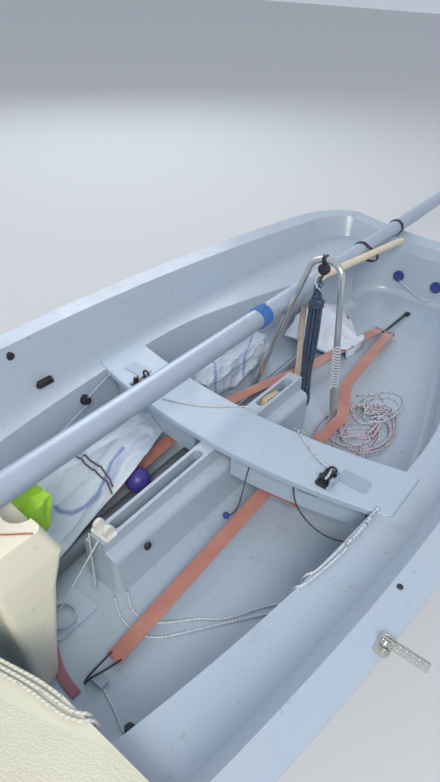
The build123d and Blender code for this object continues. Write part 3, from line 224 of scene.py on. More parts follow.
class Graph:
    """One material's shader graph, with short calls to add and wire its nodes."""

    def __init__(self, name: str) -> None:
        """Starts an empty graph.

        Args:
            name: Name of the material.
        """
        self.material = bpy.data.materials.new(name)
        self.material.use_nodes = True
        self.tree = self.material.node_tree
        self.tree.nodes.clear()
        output = self.add("OutputMaterial")
        self.shader = self.add("BsdfPrincipled")
        self.link(self.shader.outputs["BSDF"], output.inputs["Surface"])
        self.place = self.add("TexCoord").outputs["Object"]

    def add(self, kind: str, **values: object) -> bpy.types.Node:
        """Adds a node.

        Args:
            kind: Its type, without the prefix that all shader nodes share.
            values: Plain values of its inputs, with underscores for spaces.

        Returns:
            The node.
        """
        node = self.tree.nodes.new(f"ShaderNode{kind}")
        for key, value in values.items():
            node.inputs[key.replace("_", " ")].default_value = value
        return node

    def link(self, source: bpy.types.NodeSocket, target: bpy.types.NodeSocket) -> None:
        """Wires one socket to another."""
        self.tree.links.new(source, target)

    def scaled(self, x: float, y: float, z: float, turn: float = 0.0) -> bpy.types.NodeSocket:
        """Object coordinates turned about Z and stretched along each axis.

        Args:
            x: Factor along X.
            y: Factor along Y.
            z: Factor along Z.
            turn: Turn about Z first, in degrees.

        Returns:
            The mapped vector.
        """
        node = self.add("Mapping", Scale=(x, y, z), Rotation=(0.0, 0.0, math.radians(turn)))
        self.link(self.place, node.inputs["Vector"])
        return node.outputs["Vector"]

    def noise(self, scale: float, detail: float = 3.0, vector: Optional[bpy.types.NodeSocket] = None,
              rough: float = 0.5) -> bpy.types.NodeSocket:
        """Noise between 0 and 1.

        Args:
            scale: Repeats per metre.
            detail: Octaves.
            vector: Coordinates, or the object's own.
            rough: Strength of the finer octaves.

        Returns:
            The noise's value.
        """
        node = self.add("TexNoise", Scale=scale, Detail=detail, Roughness=rough)
        self.link(vector or self.place, node.inputs["Vector"])
        return node.outputs["Fac"]

    def stripes(self, around: float, along: float) -> bpy.types.NodeSocket:
        """Slanting waves on the piece's own coordinates, from 0 to 1.

        Args:
            around: Waves for each turn round the piece.
            along: Waves for each of its girths along it.

        Returns:
            The waves' height.
        """
        own = self.add("UVMap")
        own.uv_map = LAY
        split = self.add("SeparateXYZ")
        self.link(own.outputs["UV"], split.inputs["Vector"])
        turn = self.math("ADD", self.math("MULTIPLY", split.outputs["X"], around),
                         self.math("MULTIPLY", split.outputs["Y"], along))
        wave = self.math("SINE", self.math("MULTIPLY", turn, 2.0 * math.pi), 0.0)
        return self.math("ADD", self.math("MULTIPLY", wave, 0.5), 0.5)

    def beyond(self, axis: str, distance: float) -> bpy.types.NodeSocket:
        """1 where the place lies further from the middle along one axis than a distance, and 0 elsewhere."""
        split = self.add("SeparateXYZ")
        self.link(self.place, split.inputs["Vector"])
        return self.math("GREATER_THAN", self.math("ABSOLUTE", split.outputs[axis], 0.0), distance)

    def painted(self, name: str) -> bpy.types.NodeSocket:
        """Value that a piece's own points carry under a name, 0 where they carry none."""
        node = self.add("Attribute")
        node.attribute_name = name
        return node.outputs["Fac"]

    def ramp(self, value: bpy.types.NodeSocket, low: float, high: float) -> bpy.types.NodeSocket:
        """Value stretched so that low becomes 0 and high becomes 1."""
        node = self.add("MapRange", From_Min=low, From_Max=high)
        self.link(value, node.inputs["Value"])
        return node.outputs["Result"]

    def math(self, operation: str, first: object, second: object) -> bpy.types.NodeSocket:
        """One arithmetic step on sockets or numbers."""
        node = self.add("Math")
        node.operation = operation
        for index, value in enumerate((first, second)):
            if isinstance(value, (int, float)):
                node.inputs[index].default_value = value
            else:
                self.link(value, node.inputs[index])
        return node.outputs["Value"]

    def mix(self, factor: bpy.types.NodeSocket, first: object, second: object) -> bpy.types.NodeSocket:
        """Colour blend from first to second."""
        node = self.add("Mix")
        node.data_type = "RGBA"
        self.link(factor, node.inputs["Factor"])
        for index, value in ((6, first), (7, second)):
            if isinstance(value, tuple):
                node.inputs[index].default_value = (*value, 1.0)
            else:
                self.link(value, node.inputs[index])
        return node.outputs[2]

    def bump(self, height: bpy.types.NodeSocket, strength: float, distance: float) -> None:
        """Adds relief to the shader, on top of any before it.

        Args:
            height: Height between 0 and 1.
            strength: How much of it shows.
            distance: Depth in metres.
        """
        node = self.add("Bump", Strength=strength, Distance=distance)
        self.link(height, node.inputs["Height"])
        normal = self.shader.inputs["Normal"]
        if normal.is_linked:
            self.link(normal.links[0].from_socket, node.inputs["Normal"])
        self.link(node.outputs["Normal"], normal)

    def set(self, **values: float) -> None:
        """Sets plain numbers on the shader's own sockets, with spaces for underscores."""
        for key, value in values.items():
            self.shader.inputs[key.replace("_", " ").title().replace("Ior", "IOR")].default_value = value


class Paints:
    """Builds and keeps one material for each finish."""

    def __init__(self) -> None:
        """Starts with no materials."""
        self.made: dict[str, bpy.types.Material] = {}
        self.recipes: dict[Kind, Callable[[Graph, Finish], None]] = {
            Kind.GELCOAT: self.gelcoat,
            Kind.NONSLIP: self.nonslip,
            Kind.METAL: self.metal,
            Kind.PLASTIC: self.plastic,
            Kind.WOOD: self.wood,
            Kind.ROPE: self.rope,
            Kind.WEBBING: self.webbing,
            Kind.SAIL: self.sail,
            Kind.CLOTH: self.cloth,
        }

    def get(self, finish: Finish) -> bpy.types.Material:
        """The finish's material, made when first asked for.

        Args:
            finish: What the surface looks like.

        Returns:
            The material.
        """
        if finish.name not in self.made:
            graph = Graph(finish.name)
            graph.shader.inputs["Base Color"].default_value = (*finish.color, 1.0)
            graph.shader.inputs["Roughness"].default_value = finish.roughness
            self.recipes[finish.kind](graph, finish)
            self.made[finish.name] = graph.material
        return self.made[finish.name]

    @staticmethod
    def tint(graph: Graph, color: bpy.types.NodeSocket) -> None:
        """Feeds a colour to the shader."""
        graph.link(color, graph.shader.inputs["Base Color"])

    def gelcoat(self, graph: Graph, finish: Finish) -> None:
        """Glossy moulded surface, chalky in patches, with brown smudges and fine scratches."""
        patches = graph.ramp(graph.noise(1.7, 4.0), 0.35, 0.70)
        warm = tuple(value * factor for value, factor in zip(finish.color, (1.02, 0.99, 0.93)))
        base = graph.mix(patches, finish.color, warm)
        smudge = graph.ramp(graph.noise(6.5, 6.0, rough=0.62), 0.60, 0.80)
        spots = graph.ramp(graph.noise(42.0, 2.0), 0.66, 0.76)
        soil = graph.math("MULTIPLY", graph.math("MAXIMUM", smudge, spots), 0.62 * finish.grime)
        self.tint(graph, graph.mix(soil, base, finish.accent))
        dull = graph.ramp(graph.noise(14.0, 5.0), 0.3, 0.8)
        rough = graph.math("ADD", graph.math("MULTIPLY", dull, 0.22), finish.roughness - 0.06)
        graph.link(rough, graph.shader.inputs["Roughness"])
        scratch = graph.noise(26.0, 4.0, graph.scaled(1.0, 9.0, 9.0, 24.0))
        graph.bump(scratch, 0.10, 0.0006)
        graph.set(coat_weight=0.25, coat_roughness=0.18)

    def nonslip(self, graph: Graph, finish: Finish) -> None:
        """Deck gelcoat with moulded pebbles, smooth along the edge of the mast's notch, and painted shade between the
        pebbles.
        """
        soil = graph.ramp(graph.noise(9.0, 6.0), 0.50, 0.80)
        cells = graph.add("TexVoronoi", Scale=1.0 / finish.scale)
        graph.link(graph.place, cells.inputs["Vector"])
        pebbles = graph.math("SUBTRACT", 1.0, graph.ramp(cells.outputs["Distance"], 0.1, 0.75))
        centre = graph.add("VectorMath")
        centre.operation = "SUBTRACT"
        centre.inputs[1].default_value = (NOTCH_CENTRE_X, 0.0, 0.0)
        graph.link(graph.scaled(1.0, 1.0, 0.0), centre.inputs[0])
        reach = graph.add("VectorMath")
        reach.operation = "LENGTH"
        graph.link(centre.outputs["Vector"], reach.inputs[0])
        inside = graph.ramp(reach.outputs["Value"], *(NOTCH_RADIUS + margin for margin in NOTCH_EDGE))
        relief = graph.math("MULTIPLY", pebbles, inside)
        base = graph.mix(graph.math("MULTIPLY", soil, 0.5 * finish.grime), finish.color, finish.accent)
        # Painted shade: the low ground between the pebbles is darkened.
        shade = graph.math("MULTIPLY", graph.math("SUBTRACT", 1.0, pebbles), graph.math("MULTIPLY", inside, 0.45))
        self.tint(graph, graph.mix(shade, base, dimmed(finish.color, 0.86)))
        graph.bump(relief, 0.9, 0.0012)

    def metal(self, graph: Graph, finish: Finish) -> None:
        """Anodised or polished metal with dull blotches and small scuffs."""
        scuff = graph.noise(90.0, 2.0)
        dull = graph.ramp(graph.noise(18.0, 5.0), 0.35, 0.75)
        blotches = graph.math("MULTIPLY", dull, finish.grime)
        self.tint(graph, graph.mix(blotches, finish.color, dimmed(finish.color, 0.72)))
        rough = graph.math("ADD", graph.math("MULTIPLY", scuff, 0.08), finish.roughness - 0.03)
        graph.link(rough, graph.shader.inputs["Roughness"])
        graph.set(metallic=0.85 if finish.roughness < 0.3 else 0.45)

    def plastic(self, graph: Graph, finish: Finish) -> None:
        """Moulded plastic with a fine grain and worn, paler patches."""
        worn = graph.ramp(graph.noise(30.0, 5.0), 0.45, 0.80)
        pale = tuple(min(1.0, value * 1.3 + 0.03) for value in finish.color)
        plain = graph.mix(graph.math("MULTIPLY", worn, finish.grime + 0.15), finish.color, pale)
        if finish.split:
            plain = graph.mix(graph.beyond(*finish.split), plain, finish.accent)
        self.tint(graph, plain)
        graph.bump(graph.noise(700.0, 2.0), 0.12, 0.0004)
        graph.set(specular_ior_level=0.45)

    def wood(self, graph: Graph, finish: Finish) -> None:
        """Straight-grained varnished wood, its grain along X."""
        grain = graph.noise(1.0 / finish.scale, 6.0, graph.scaled(0.06, 3.0, 3.0), rough=0.7)
        rings = graph.ramp(grain, 0.35, 0.65)
        self.tint(graph, graph.mix(rings, finish.color, finish.accent))
        graph.bump(grain, 0.15, 0.0006)
        graph.set(coat_weight=0.2, coat_roughness=0.3)

    def rope(self, graph: Graph, finish: Finish) -> None:
        """Braided cover: two sets of slanting strands, with flecks of the second colour."""
        first = graph.stripes(4.0, 4.0)
        second = graph.stripes(4.0, -4.0)
        braid = graph.math("MAXIMUM", first, second)
        marks = graph.math("MULTIPLY", graph.ramp(graph.stripes(1.0, 2.0), 0.55, 0.75), first)
        flecks = graph.math("MAXIMUM", marks, graph.ramp(graph.noise(0.9 / finish.scale, 1.0), 0.60, 0.66))
        self.tint(graph, graph.mix(graph.math("MINIMUM", flecks, 1.0), finish.color, finish.accent))
        graph.bump(braid, 0.45, finish.scale * 0.06)
        graph.set(sheen_weight=0.25)

    def webbing(self, graph: Graph, finish: Finish) -> None:
        """Flat woven webbing, faded in patches, with ribs along it."""
        fade = graph.ramp(graph.noise(7.0, 4.0), 0.30, 0.75)
        self.tint(graph, graph.mix(fade, finish.color, finish.accent))
        wave = graph.add("TexWave", Scale=1.0 / finish.scale / 3.0, Distortion=0.6)
        wave.bands_direction = "X"
        graph.link(graph.place, wave.inputs["Vector"])
        graph.bump(wave.outputs["Fac"], 0.35, 0.0006)
        graph.bump(graph.noise(900.0, 1.0), 0.25, 0.0004)
        graph.set(sheen_weight=0.3)

    def sail(self, graph: Graph, finish: Finish) -> None:
        """Crisp woven sailcloth with faint creases, and the second colour where its points carry bands: seams, edging
        and painted shade.
        """
        soil = graph.ramp(graph.noise(5.0, 5.0), 0.45, 0.80)
        plain = graph.mix(soil, finish.color, dimmed(finish.color, 0.82))
        # Bands from the points' painted value: seam tape and edging, and on the sails also painted shade.
        self.tint(graph, graph.mix(graph.painted(SEAM_AND_SHADE), plain, finish.accent))
        graph.bump(graph.noise(1.0 / finish.scale, 1.0), 0.12, 0.0003)
        graph.set(sheen_weight=0.15)

    def cloth(self, graph: Graph, finish: Finish) -> None:
        """Woven cloth with a fine weave and slight fading."""
        fade = graph.ramp(graph.noise(8.0, 4.0), 0.35, 0.75)
        self.tint(graph, graph.mix(fade, finish.color, dimmed(finish.color, 0.82)))
        graph.bump(graph.noise(1.0 / finish.scale, 1.0), 0.25, 0.0004)
        graph.set(sheen_weight=0.25)


class Studio:
    """Pale floor, soft lights and the camera of the photograph."""

    EYE: Point = (3.306, 0.935, 1.769)
    YAW = 216.99
    PITCH = -36.36
    ROLL = 2.28
    LENS = 26.92
    SENSOR = 36.0
    CLIP = (0.05, 60.0)
    FLOOR_REACH = 30.0
    AIM: Point = (1.6, 0.0, 0.3)

    def build(self) -> None:
        """Makes the floor, the lights, the world and the camera."""
        self.floor()
        self.lights()
        self.camera()

    def camera(self) -> None:
        """Camera fitted to the photograph, its long side spanning a 36 mm sensor."""
        yaw, pitch, roll = (math.radians(angle) for angle in (self.YAW, self.PITCH, self.ROLL))
        ahead = Vector((math.cos(yaw) * math.cos(pitch), math.sin(yaw) * math.cos(pitch), math.sin(pitch)))
        level = ahead.cross(Vector((0.0, 0.0, 1.0))).normalized()
        upright = level.cross(ahead)
        right = math.cos(roll) * level + math.sin(roll) * upright
        up = -math.sin(roll) * level + math.cos(roll) * upright
        data = bpy.data.cameras.new("camera")
        data.lens = self.LENS
        data.sensor_width = self.SENSOR
        data.clip_start, data.clip_end = self.CLIP
        camera = bpy.data.objects.new("camera", data)
        turn = Matrix((right, up, -ahead)).transposed()
        camera.matrix_world = Matrix.Translation(self.EYE) @ turn.to_4x4()
        bpy.context.scene.collection.objects.link(camera)
        bpy.context.scene.camera = camera

    def floor(self) -> None:
        """Large plain floor under the flat bottom."""
        mesh = bpy.data.meshes.new("studio_floor")
        reach = self.FLOOR_REACH
        corners = [(-reach, -reach, 0), (reach, -reach, 0), (reach, reach, 0), (-reach, reach, 0)]
        mesh.from_pydata(corners, [], [(0, 1, 2, 3)])
        floor = bpy.data.objects.new("studio_floor", mesh)
        bpy.context.scene.collection.objects.link(floor)
        graph = Graph("studio_floor")
        graph.shader.inputs["Base Color"].default_value = (0.62, 0.63, 0.64, 1.0)
        graph.shader.inputs["Roughness"].default_value = 0.85
        mesh.materials.append(graph.material)

    def lights(self) -> None:
        """A broad key from forward to port, a fill to starboard and a pale world."""
        world = bpy.data.worlds.new("world")
        world.use_nodes = True
        background = world.node_tree.nodes["Background"]
        background.inputs["Color"].default_value = (0.82, 0.88, 1.0, 1.0)
        background.inputs["Strength"].default_value = 0.62
        bpy.context.scene.world = world
        self.area("key", (6.5, 3.5, 5.5), 3.2, 420.0, (1.0, 0.96, 0.90))
        self.area("fill", (-2.0, -5.0, 4.5), 4.0, 160.0, (0.92, 0.96, 1.0))

    def area(self, name: str, place: Point, size: float, power: float, color: Color) -> None:
        """One square soft light that faces the cockpit.

        Args:
            name: Name of the light.
            place: Where it hangs.
            size: Length of its side.
            power: Strength in watts.
            color: Colour of the light.
        """
        data = bpy.data.lights.new(name, "AREA")
        data.size = size
        data.energy = power
        data.color = color
        light = bpy.data.objects.new(name, data)
        light.location = place
        light.rotation_euler = (Vector(self.AIM) - Vector(place)).to_track_quat("-Z", "Y").to_euler()
        bpy.context.scene.collection.objects.link(light)


class Loft:
    """Sweeps tubes and webs along smooth lines, and puts finished pieces on the boat."""

    SIDES = 12
    STRAND = (0.80, 0.20)
    WEB_SHARES = (-1.0, -0.94, -0.5, 0.0, 0.5, 0.94, 1.0)
    WEB_RIM = 0.75

    def __init__(self, paints: Paints) -> None:
        """Keeps the materials at hand.

        Args:
            paints: The materials.
        """
        self.paints = paints

    @staticmethod
    def smooth(points: Sequence[Point], resolution: int = 8) -> list[Vector]:
        """Points read from a NURBS spline that has these as its control points.

        Args:
            points: Control points.
            resolution: Points for each span.

        Returns:
            The points along the spline.
        """
        data = bpy.data.curves.new("route", "CURVE")
        data.dimensions = "3D"
        data.resolution_u = resolution
        spline = data.splines.new("NURBS")
        spline.points.add(len(points) - 1)
        for knot, place in zip(spline.points, points):
            knot.co = (*place, 1.0)
        spline.order_u = 3
        spline.use_endpoint_u = True
        holder = bpy.data.objects.new("route", data)
        mesh = bpy.data.meshes.new_from_object(holder)
        line = [vertex.co.copy() for vertex in mesh.vertices]
        bpy.data.objects.remove(holder)
        bpy.data.meshes.remove(mesh)
        bpy.data.curves.remove(data)
        return line

    def wire(self, name: str, points: Sequence[Point], steps: int, radius: float,
             finish: Finish) -> bpy.types.Object:
        """Round tube along the smooth line that control points give.

        Args:
            name: Name of the piece.
            points: Control points.
            steps: Points for each span.
            radius: Half its thickness.
            finish: What its surface looks like.

        Returns:
            The object.
        """
        return self.tube(name, self.smooth(points, steps), radius, finish)

    @staticmethod
    def length(line: Sequence[Vector]) -> float:
        """Length of a run of points."""
        return sum((there - here).length for here, there in zip(line, line[1:]))

    def place(self, name: str, vertices: Sequence[Vector], faces: Sequence[Sequence[int]],
              finish: Finish) -> bpy.types.Object:
        """Makes a smooth object of a mesh, dresses it and lets it ride on the boat.

        Args:
            name: Name of the piece.
            vertices: Places in the row frame.
            faces: Corners of each face.
            finish: What its surface looks like.

        Returns:
            The object.
        """
        mesh = bpy.data.meshes.new(name)
        mesh.from_pydata([tuple(vertex) for vertex in vertices], [], [tuple(face) for face in faces])
        mesh.materials.append(self.paints.get(finish))
        for polygon in mesh.polygons:
            polygon.use_smooth = True
        piece = bpy.data.objects.new(name, mesh)
        bpy.context.scene.collection.objects.link(piece)
        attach(piece, BODY)
        LOG.info("%s made", name)
        return piece

    def tube(self, name: str, line: Sequence[Vector], radius: float, finish: Finish,
             lobes: int = 0, pitch: float = 0.03) -> bpy.types.Object:
        """Closed tube along a line, round or with the lobes of laid strands.

        Args:
            name: Name of the piece.
            line: Points along its middle.
            radius: Half its thickness.
            finish: What its surface looks like.
            lobes: Number of strands that show, none for a plain round.
            pitch: Run of one full turn of a strand, in metres.

        Returns:
            The object.
        """
        vertices: list[Vector] = []
        faces: list[tuple[int, ...]] = []
        places: list[tuple[float, float]] = []
        runs: list[float] = []
        girth = 2 * math.pi * radius
        along = (line[1] - line[0]).normalized()
        side = along.orthogonal().normalized()
        run = 0.0
        last = len(line) - 1
        for index, here in enumerate(line):
            if index:
                run += (here - line[index - 1]).length
            runs.append(run / girth)
            ahead = (line[min(index + 1, last)] - line[max(index - 1, 0)]).normalized()
            side = (side - ahead * side.dot(ahead)).normalized()
            up = ahead.cross(side)
            for step in range(self.SIDES):
                angle = 2 * math.pi * step / self.SIDES
                reach = radius
                if lobes:
                    strand = abs(math.cos(lobes * angle / 2 + math.pi * lobes * run / pitch))
                    reach = radius * (self.STRAND[0] + self.STRAND[1] * strand)
                vertices.append(here + (side * math.cos(angle) + up * math.sin(angle)) * reach)
        for index in range(last):
            low = index * self.SIDES
            for step in range(self.SIDES):
                after = (step + 1) % self.SIDES
                faces.append((low + step, low + after, low + self.SIDES + after, low + self.SIDES + step))
                near, far = step / self.SIDES, (step + 1) / self.SIDES
                here, there = runs[index], runs[index + 1]
                places.extend(((near, here), (far, here), (far, there), (near, there)))
        faces.append(tuple(reversed(range(self.SIDES))))
        faces.append(tuple(range(last * self.SIDES, (last + 1) * self.SIDES)))
        places.extend((step / self.SIDES, 0.0) for step in range(2 * self.SIDES))
        piece = self.place(name, vertices, faces, finish)
        layer = piece.data.uv_layers.new(name=LAY)
        for corner, place in zip(layer.data, places):
            corner.uv = place
        return piece

    def web(self, name: str, line: Sequence[Vector], half_width: float, thick: float,
            finish: Finish) -> bpy.types.Object:
        """Flat webbing along a line, level across, a little cupped and wavy along its edges.

        Args:
            name: Name of the piece.
            line: Points along the middle of its underside.
            half_width: Half its width.
            thick: Its thickness.
            finish: What its surface looks like.

        Returns:
            The object.
        """
        vertices: list[Vector] = []
        faces: list[tuple[int, ...]] = []
        last = len(line) - 1
        rows = 2 * len(self.WEB_SHARES)
        for index, here in enumerate(line):
            ahead = (line[min(index + 1, last)] - line[max(index - 1, 0)]).normalized()
            across = Vector((0.0, 0.0, 1.0)).cross(ahead).normalized()
            up = ahead.cross(across)
            roll = 0.03 * noise.noise(here * 9.0)
            for layer in (0.0, 1.0):
                for share in self.WEB_SHARES if not layer else reversed(self.WEB_SHARES):
                    rim = self.WEB_RIM if abs(share) == 1.0 else 1.0
                    lift = thick * (0.5 + (layer - 0.5) * rim) + roll * share * half_width
                    wave = 0.0006 * noise.noise(here * 40.0 + Vector((share, 0.0, 0.0)))
                    vertices.append(here + across * share * half_width + up * (lift + wave + 0.0005))
        for index in range(last):
            low = index * rows
            for step in range(rows):
                after = (step + 1) % rows
                faces.append((low + step, low + rows + step, low + rows + after, low + after))
        faces.append(tuple(range(rows)))
        faces.append(tuple(reversed(range(last * rows, (last + 1) * rows))))
        return self.place(name, vertices, faces, finish)


@dataclass(frozen=True)
class Line:
    """One rope or cord from where it leaves the boat to its far end.

    Args:
        name: Name of the piece.
        finish: What its surface looks like.
        diameter: Its thickness.
        points: Control points of its route.
        far_end: What its far end is; not used.
        lay: How it lies; not used.
        free: Whether it is slack.
        lobes: Strands that show, none for a braid.
    """

    name: str
    finish: Finish
    diameter: float
    points: tuple[Point, ...]
    far_end: str = "bare"
    lay: str = "loose"
    free: bool = True
    lobes: int = 0


LINES: tuple[Line, ...] = (
    Line("jib_sheet_port", FLECKED, 0.008, (
        (2.044, 0.413, 0.4690), (1.990, 0.411, 0.4670), (1.978, 0.372, 0.4575), (1.952, 0.316, 0.4530),
        (1.918, 0.262, 0.4530), (1.899, 0.236, 0.4535), (1.880, 0.206, 0.4560), (1.866, 0.188, 0.4400),
        (1.860, 0.178, 0.3850), (1.851, 0.176, 0.3250), (1.834, 0.178, 0.2680), (1.796, 0.186, 0.2240),
        (1.742, 0.200, 0.2050), (1.690, 0.214, 0.2040), (1.640, 0.228, 0.2040), (1.590, 0.250, 0.2040),
    ), far_end="object"),
    Line("thwart_cord", PLAIN_ROPE, 0.004, (
        (2.053, -0.278, 0.4515), (2.042, -0.237, 0.4515), (2.025, -0.198, 0.4515), (1.998, -0.144, 0.4515),
        (1.965, -0.095, 0.4515), (1.925, -0.056, 0.4515), (1.903, -0.026, 0.4515), (1.885, -0.008, 0.4500),
        (1.866, 0.010, 0.4320), (1.848, 0.021, 0.4282),
    ), lobes=3),
    Line("tank_rope", FLECKED, 0.010, (
        (2.034, 0.592, 0.4548), (2.056, 0.592, 0.4548), (2.082, 0.589, 0.4540), (2.112, 0.592, 0.4520),
        (2.142, 0.588, 0.4506), (2.172, 0.589, 0.4506), (2.196, 0.584, 0.4506), (2.214, 0.582, 0.4506),
    ), far_end="knot"),
    Line("floor_line_aft", WHITE_CORD, 0.007, (
        (2.214, 0.5760, 0.4490), (2.250, 0.5745, 0.4490), (2.290, 0.5700, 0.4490), (2.330, 0.5650, 0.4490),
        (2.358, 0.5590, 0.4490), (2.370, 0.5450, 0.4440), (2.366, 0.5340, 0.4000), (2.352, 0.5260, 0.3300),
        (2.340, 0.5160, 0.2600), (2.334, 0.4960, 0.2160), (2.342, 0.4680, 0.2038), (2.374, 0.4420, 0.2038),
        (2.406, 0.4210, 0.2038), (2.462, 0.3890, 0.2038), (2.498, 0.3620, 0.2038), (2.534, 0.3130, 0.2038),
        (2.567, 0.2830, 0.2038), (2.615, 0.2400, 0.2038), (2.640, 0.1960, 0.2038), (2.646, 0.1500, 0.2038),
        (2.622, 0.1020, 0.2038), (2.604, 0.0840, 0.2038),
    ), far_end="object"),
    Line("floor_line_fore", WHITE_CORD, 0.007, (
        (2.220, 0.5900, 0.4490), (2.256, 0.5860, 0.4490), (2.300, 0.5800, 0.4490), (2.346, 0.5720, 0.4490),
        (2.388, 0.5640, 0.4490), (2.412, 0.5560, 0.4470), (2.420, 0.5420, 0.4400), (2.412, 0.5300, 0.3900),
        (2.396, 0.5220, 0.3200), (2.382, 0.5100, 0.2500), (2.378, 0.4880, 0.2120), (2.390, 0.4620, 0.2038),
        (2.437, 0.4250, 0.2038), (2.511, 0.3700, 0.2038), (2.548, 0.3440, 0.2038), (2.584, 0.3170, 0.2038),
        (2.655, 0.2650, 0.2038), (2.684, 0.2160, 0.2038), (2.686, 0.1500, 0.2038), (2.664, 0.0960, 0.2038),
        (2.642, 0.0640, 0.2038),
    ), far_end="object"),
    Line("tank_cord", BLACK_CORD, 0.005, (
        (2.074, 0.322, 0.405), (2.084, 0.328, 0.390), (2.100, 0.352, 0.355), (2.112, 0.392, 0.336),
        (2.122, 0.432, 0.329), (2.130, 0.470, 0.332), (2.136, 0.506, 0.343), (2.142, 0.538, 0.360),
        (2.146, 0.562, 0.380),
    ), far_end="object", lay="hanging"),
    Line("ball_cord", BLACK_CORD, 0.004, (
        (2.088, 0.156, 0.404), (2.098, 0.154, 0.370), (2.106, 0.152, 0.320), (2.114, 0.149, 0.270),
        (2.124, 0.146, 0.224), (2.142, 0.142, 0.2030), (2.168, 0.134, 0.2025),
    ), far_end="knot"),
    Line("bow_rope_one", PLAIN_ROPE, 0.008, (
        (3.096, 0.060, 0.5715), (3.084, 0.120, 0.5705), (3.070, 0.180, 0.5690), (3.055, 0.240, 0.5672),
        (3.043, 0.295, 0.5655), (3.036, 0.335, 0.5640), (3.032, 0.372, 0.5625), (3.024, 0.400, 0.5615),
        (3.008, 0.414, 0.5540), (3.003, 0.420, 0.5300), (3.002, 0.424, 0.5050),
    ), lobes=3),
    Line("bow_rope_two", PLAIN_ROPE, 0.008, (
        (3.106, 0.064, 0.5715), (3.094, 0.124, 0.5705), (3.080, 0.186, 0.5690), (3.065, 0.246, 0.5672),
        (3.054, 0.300, 0.5655), (3.050, 0.345, 0.5640), (3.044, 0.385, 0.5625), (3.030, 0.418, 0.5605),
        (3.010, 0.430, 0.5530), (3.004, 0.437, 0.5250), (3.003, 0.440, 0.5150),
    ), lobes=3),
    Line("bow_rope_three", PLAIN_ROPE, 0.008, (
        (3.086, 0.056, 0.5715), (3.074, 0.116, 0.5705), (3.060, 0.174, 0.5690), (3.045, 0.234, 0.5672),
        (3.032, 0.285, 0.5655), (3.026, 0.320, 0.5645), (3.023, 0.350, 0.5635),
    ), lobes=3),
    Line("fore_cord", WHITE_CORD, 0.006, (
        (2.834, 0.214, 0.2034), (2.848, 0.226, 0.2034), (2.856, 0.252, 0.2034), (2.866, 0.286, 0.2034),
        (2.882, 0.330, 0.2034), (2.892, 0.352, 0.2034), (2.898, 0.368, 0.2034),
    ), far_end="knot", lobes=3),
    Line("strap_cord_outer", BLACK_CORD, 0.006, (
        (2.776, 0.236, 0.2262), (2.812, 0.230, 0.2300), (2.846, 0.219, 0.2310), (2.866, 0.208, 0.2240),
        (2.878, 0.200, 0.2060),
    ), free=False),
    Line("strap_cord_inner", BLACK_CORD, 0.006, (
        (2.776, 0.200, 0.2262), (2.812, 0.202, 0.2300), (2.846, 0.203, 0.2310), (2.864, 0.201, 0.2240),
        (2.876, 0.197, 0.2060),
    ), free=False),
    Line("bung_cord", WHITE_CORD, 0.005, (
        (0.170, -0.148, 0.3000), (0.166, -0.126, 0.2820), (0.160, -0.100, 0.2620), (0.158, -0.072, 0.2500),
        (0.162, -0.030, 0.2320), (0.168, 0.019, 0.2220), (0.164, 0.044, 0.2320), (0.158, 0.064, 0.2500),
        (0.160, 0.076, 0.2760),
    ), far_end="object", lay="hanging"),
    Line("gate_cord", RED_CORD, 0.004, (
        (2.862, 0.086, 0.7102), (2.874, 0.072, 0.7102), (2.890, 0.056, 0.7102), (2.908, 0.036, 0.7102),
        (2.924, 0.016, 0.7102), (2.938, -0.004, 0.7102), (2.950, -0.020, 0.7102),
    ), far_end="knot"),
    Line("elastic_fore", FLECKED, 0.005, (
        (2.074, 0.184, 0.420), (2.049, 0.186, 0.352), (2.024, 0.188, 0.300),
    ), free=False),
    Line("elastic_aft", FLECKED, 0.005, (
        (2.072, 0.254, 0.420), (2.064, 0.245, 0.352), (2.056, 0.236, 0.300),
    ), free=False),
    Line("control_line_long", WHITE_CORD, 0.005, (
        (2.640, 0.020, 0.424), (2.730, 0.006, 0.314), (2.817, -0.006, 0.209),
    ), free=False),
    Line("control_line_short", WHITE_CORD, 0.005, (
        (2.640, -0.020, 0.424), (2.650, -0.010, 0.315), (2.659, 0.002, 0.205),
    ), free=False),
    Line("tackle_up", FLECKED, 0.004, (
        (2.188, -0.542, 0.400), (2.122, -0.540, 0.428), (2.056, -0.539, 0.458),
    ), free=False),
    Line("tackle_down", FLECKED, 0.004, (
        (2.192, -0.538, 0.372), (2.290, -0.505, 0.380), (2.392, -0.452, 0.406),
    ), free=False),
)


@dataclass(frozen=True)
class Heap:
    """One rope heaped on the floor in loose turns of different size.

    Args:
        name: Name of the piece.
        finish: What its surface looks like.
        diameter: Its thickness.
        turns: How many turns it makes.
        centre: Middle of the heap, seen from above.
        wide: Half its size along X.
        deep: Half its size along Y.
        seed: Shift of the noise that unsettles its turns.
        nodes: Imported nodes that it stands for.
    """

    name: str
    finish: Finish
    diameter: float
    turns: int
    centre: Spot
    wide: float
    deep: float
    seed: float
    nodes: tuple[str, ...] = ()

    def unrest(self, turn: float, row: float) -> float:
        """Noise that changes slowly from turn to turn."""
        return noise.noise(Vector((turn, self.seed, row)))

    def plan(self, steps: int, fence: Spot) -> list[Spot]:
        """Control points of its route, seen from above.

        Args:
            steps: Points for each turn.
            fence: Lowest and highest place along Y.

        Returns:
            The points.
        """
        places = []
        for step in range(self.turns * steps):
            turn = step / steps
            angle = 2 * math.pi * turn + self.seed
            shift = Vector((self.unrest(turn * 0.9, 0.0), self.unrest(turn * 0.9, 5.0)))
            size = 0.80 + 0.95 * self.unrest(turn * 1.3, 9.0)
            size *= 1.0 + 0.13 * math.sin(3.0 * angle + 1.7 * turn) * self.unrest(turn * 0.7, 2.0)
            x = self.centre[0] + 0.085 * shift.x + self.wide * size * math.cos(angle)
            y = self.centre[1] + 0.050 * shift.y + self.deep * size * math.sin(angle)
            places.append((x, max(fence[0], min(fence[1], y))))
        return places


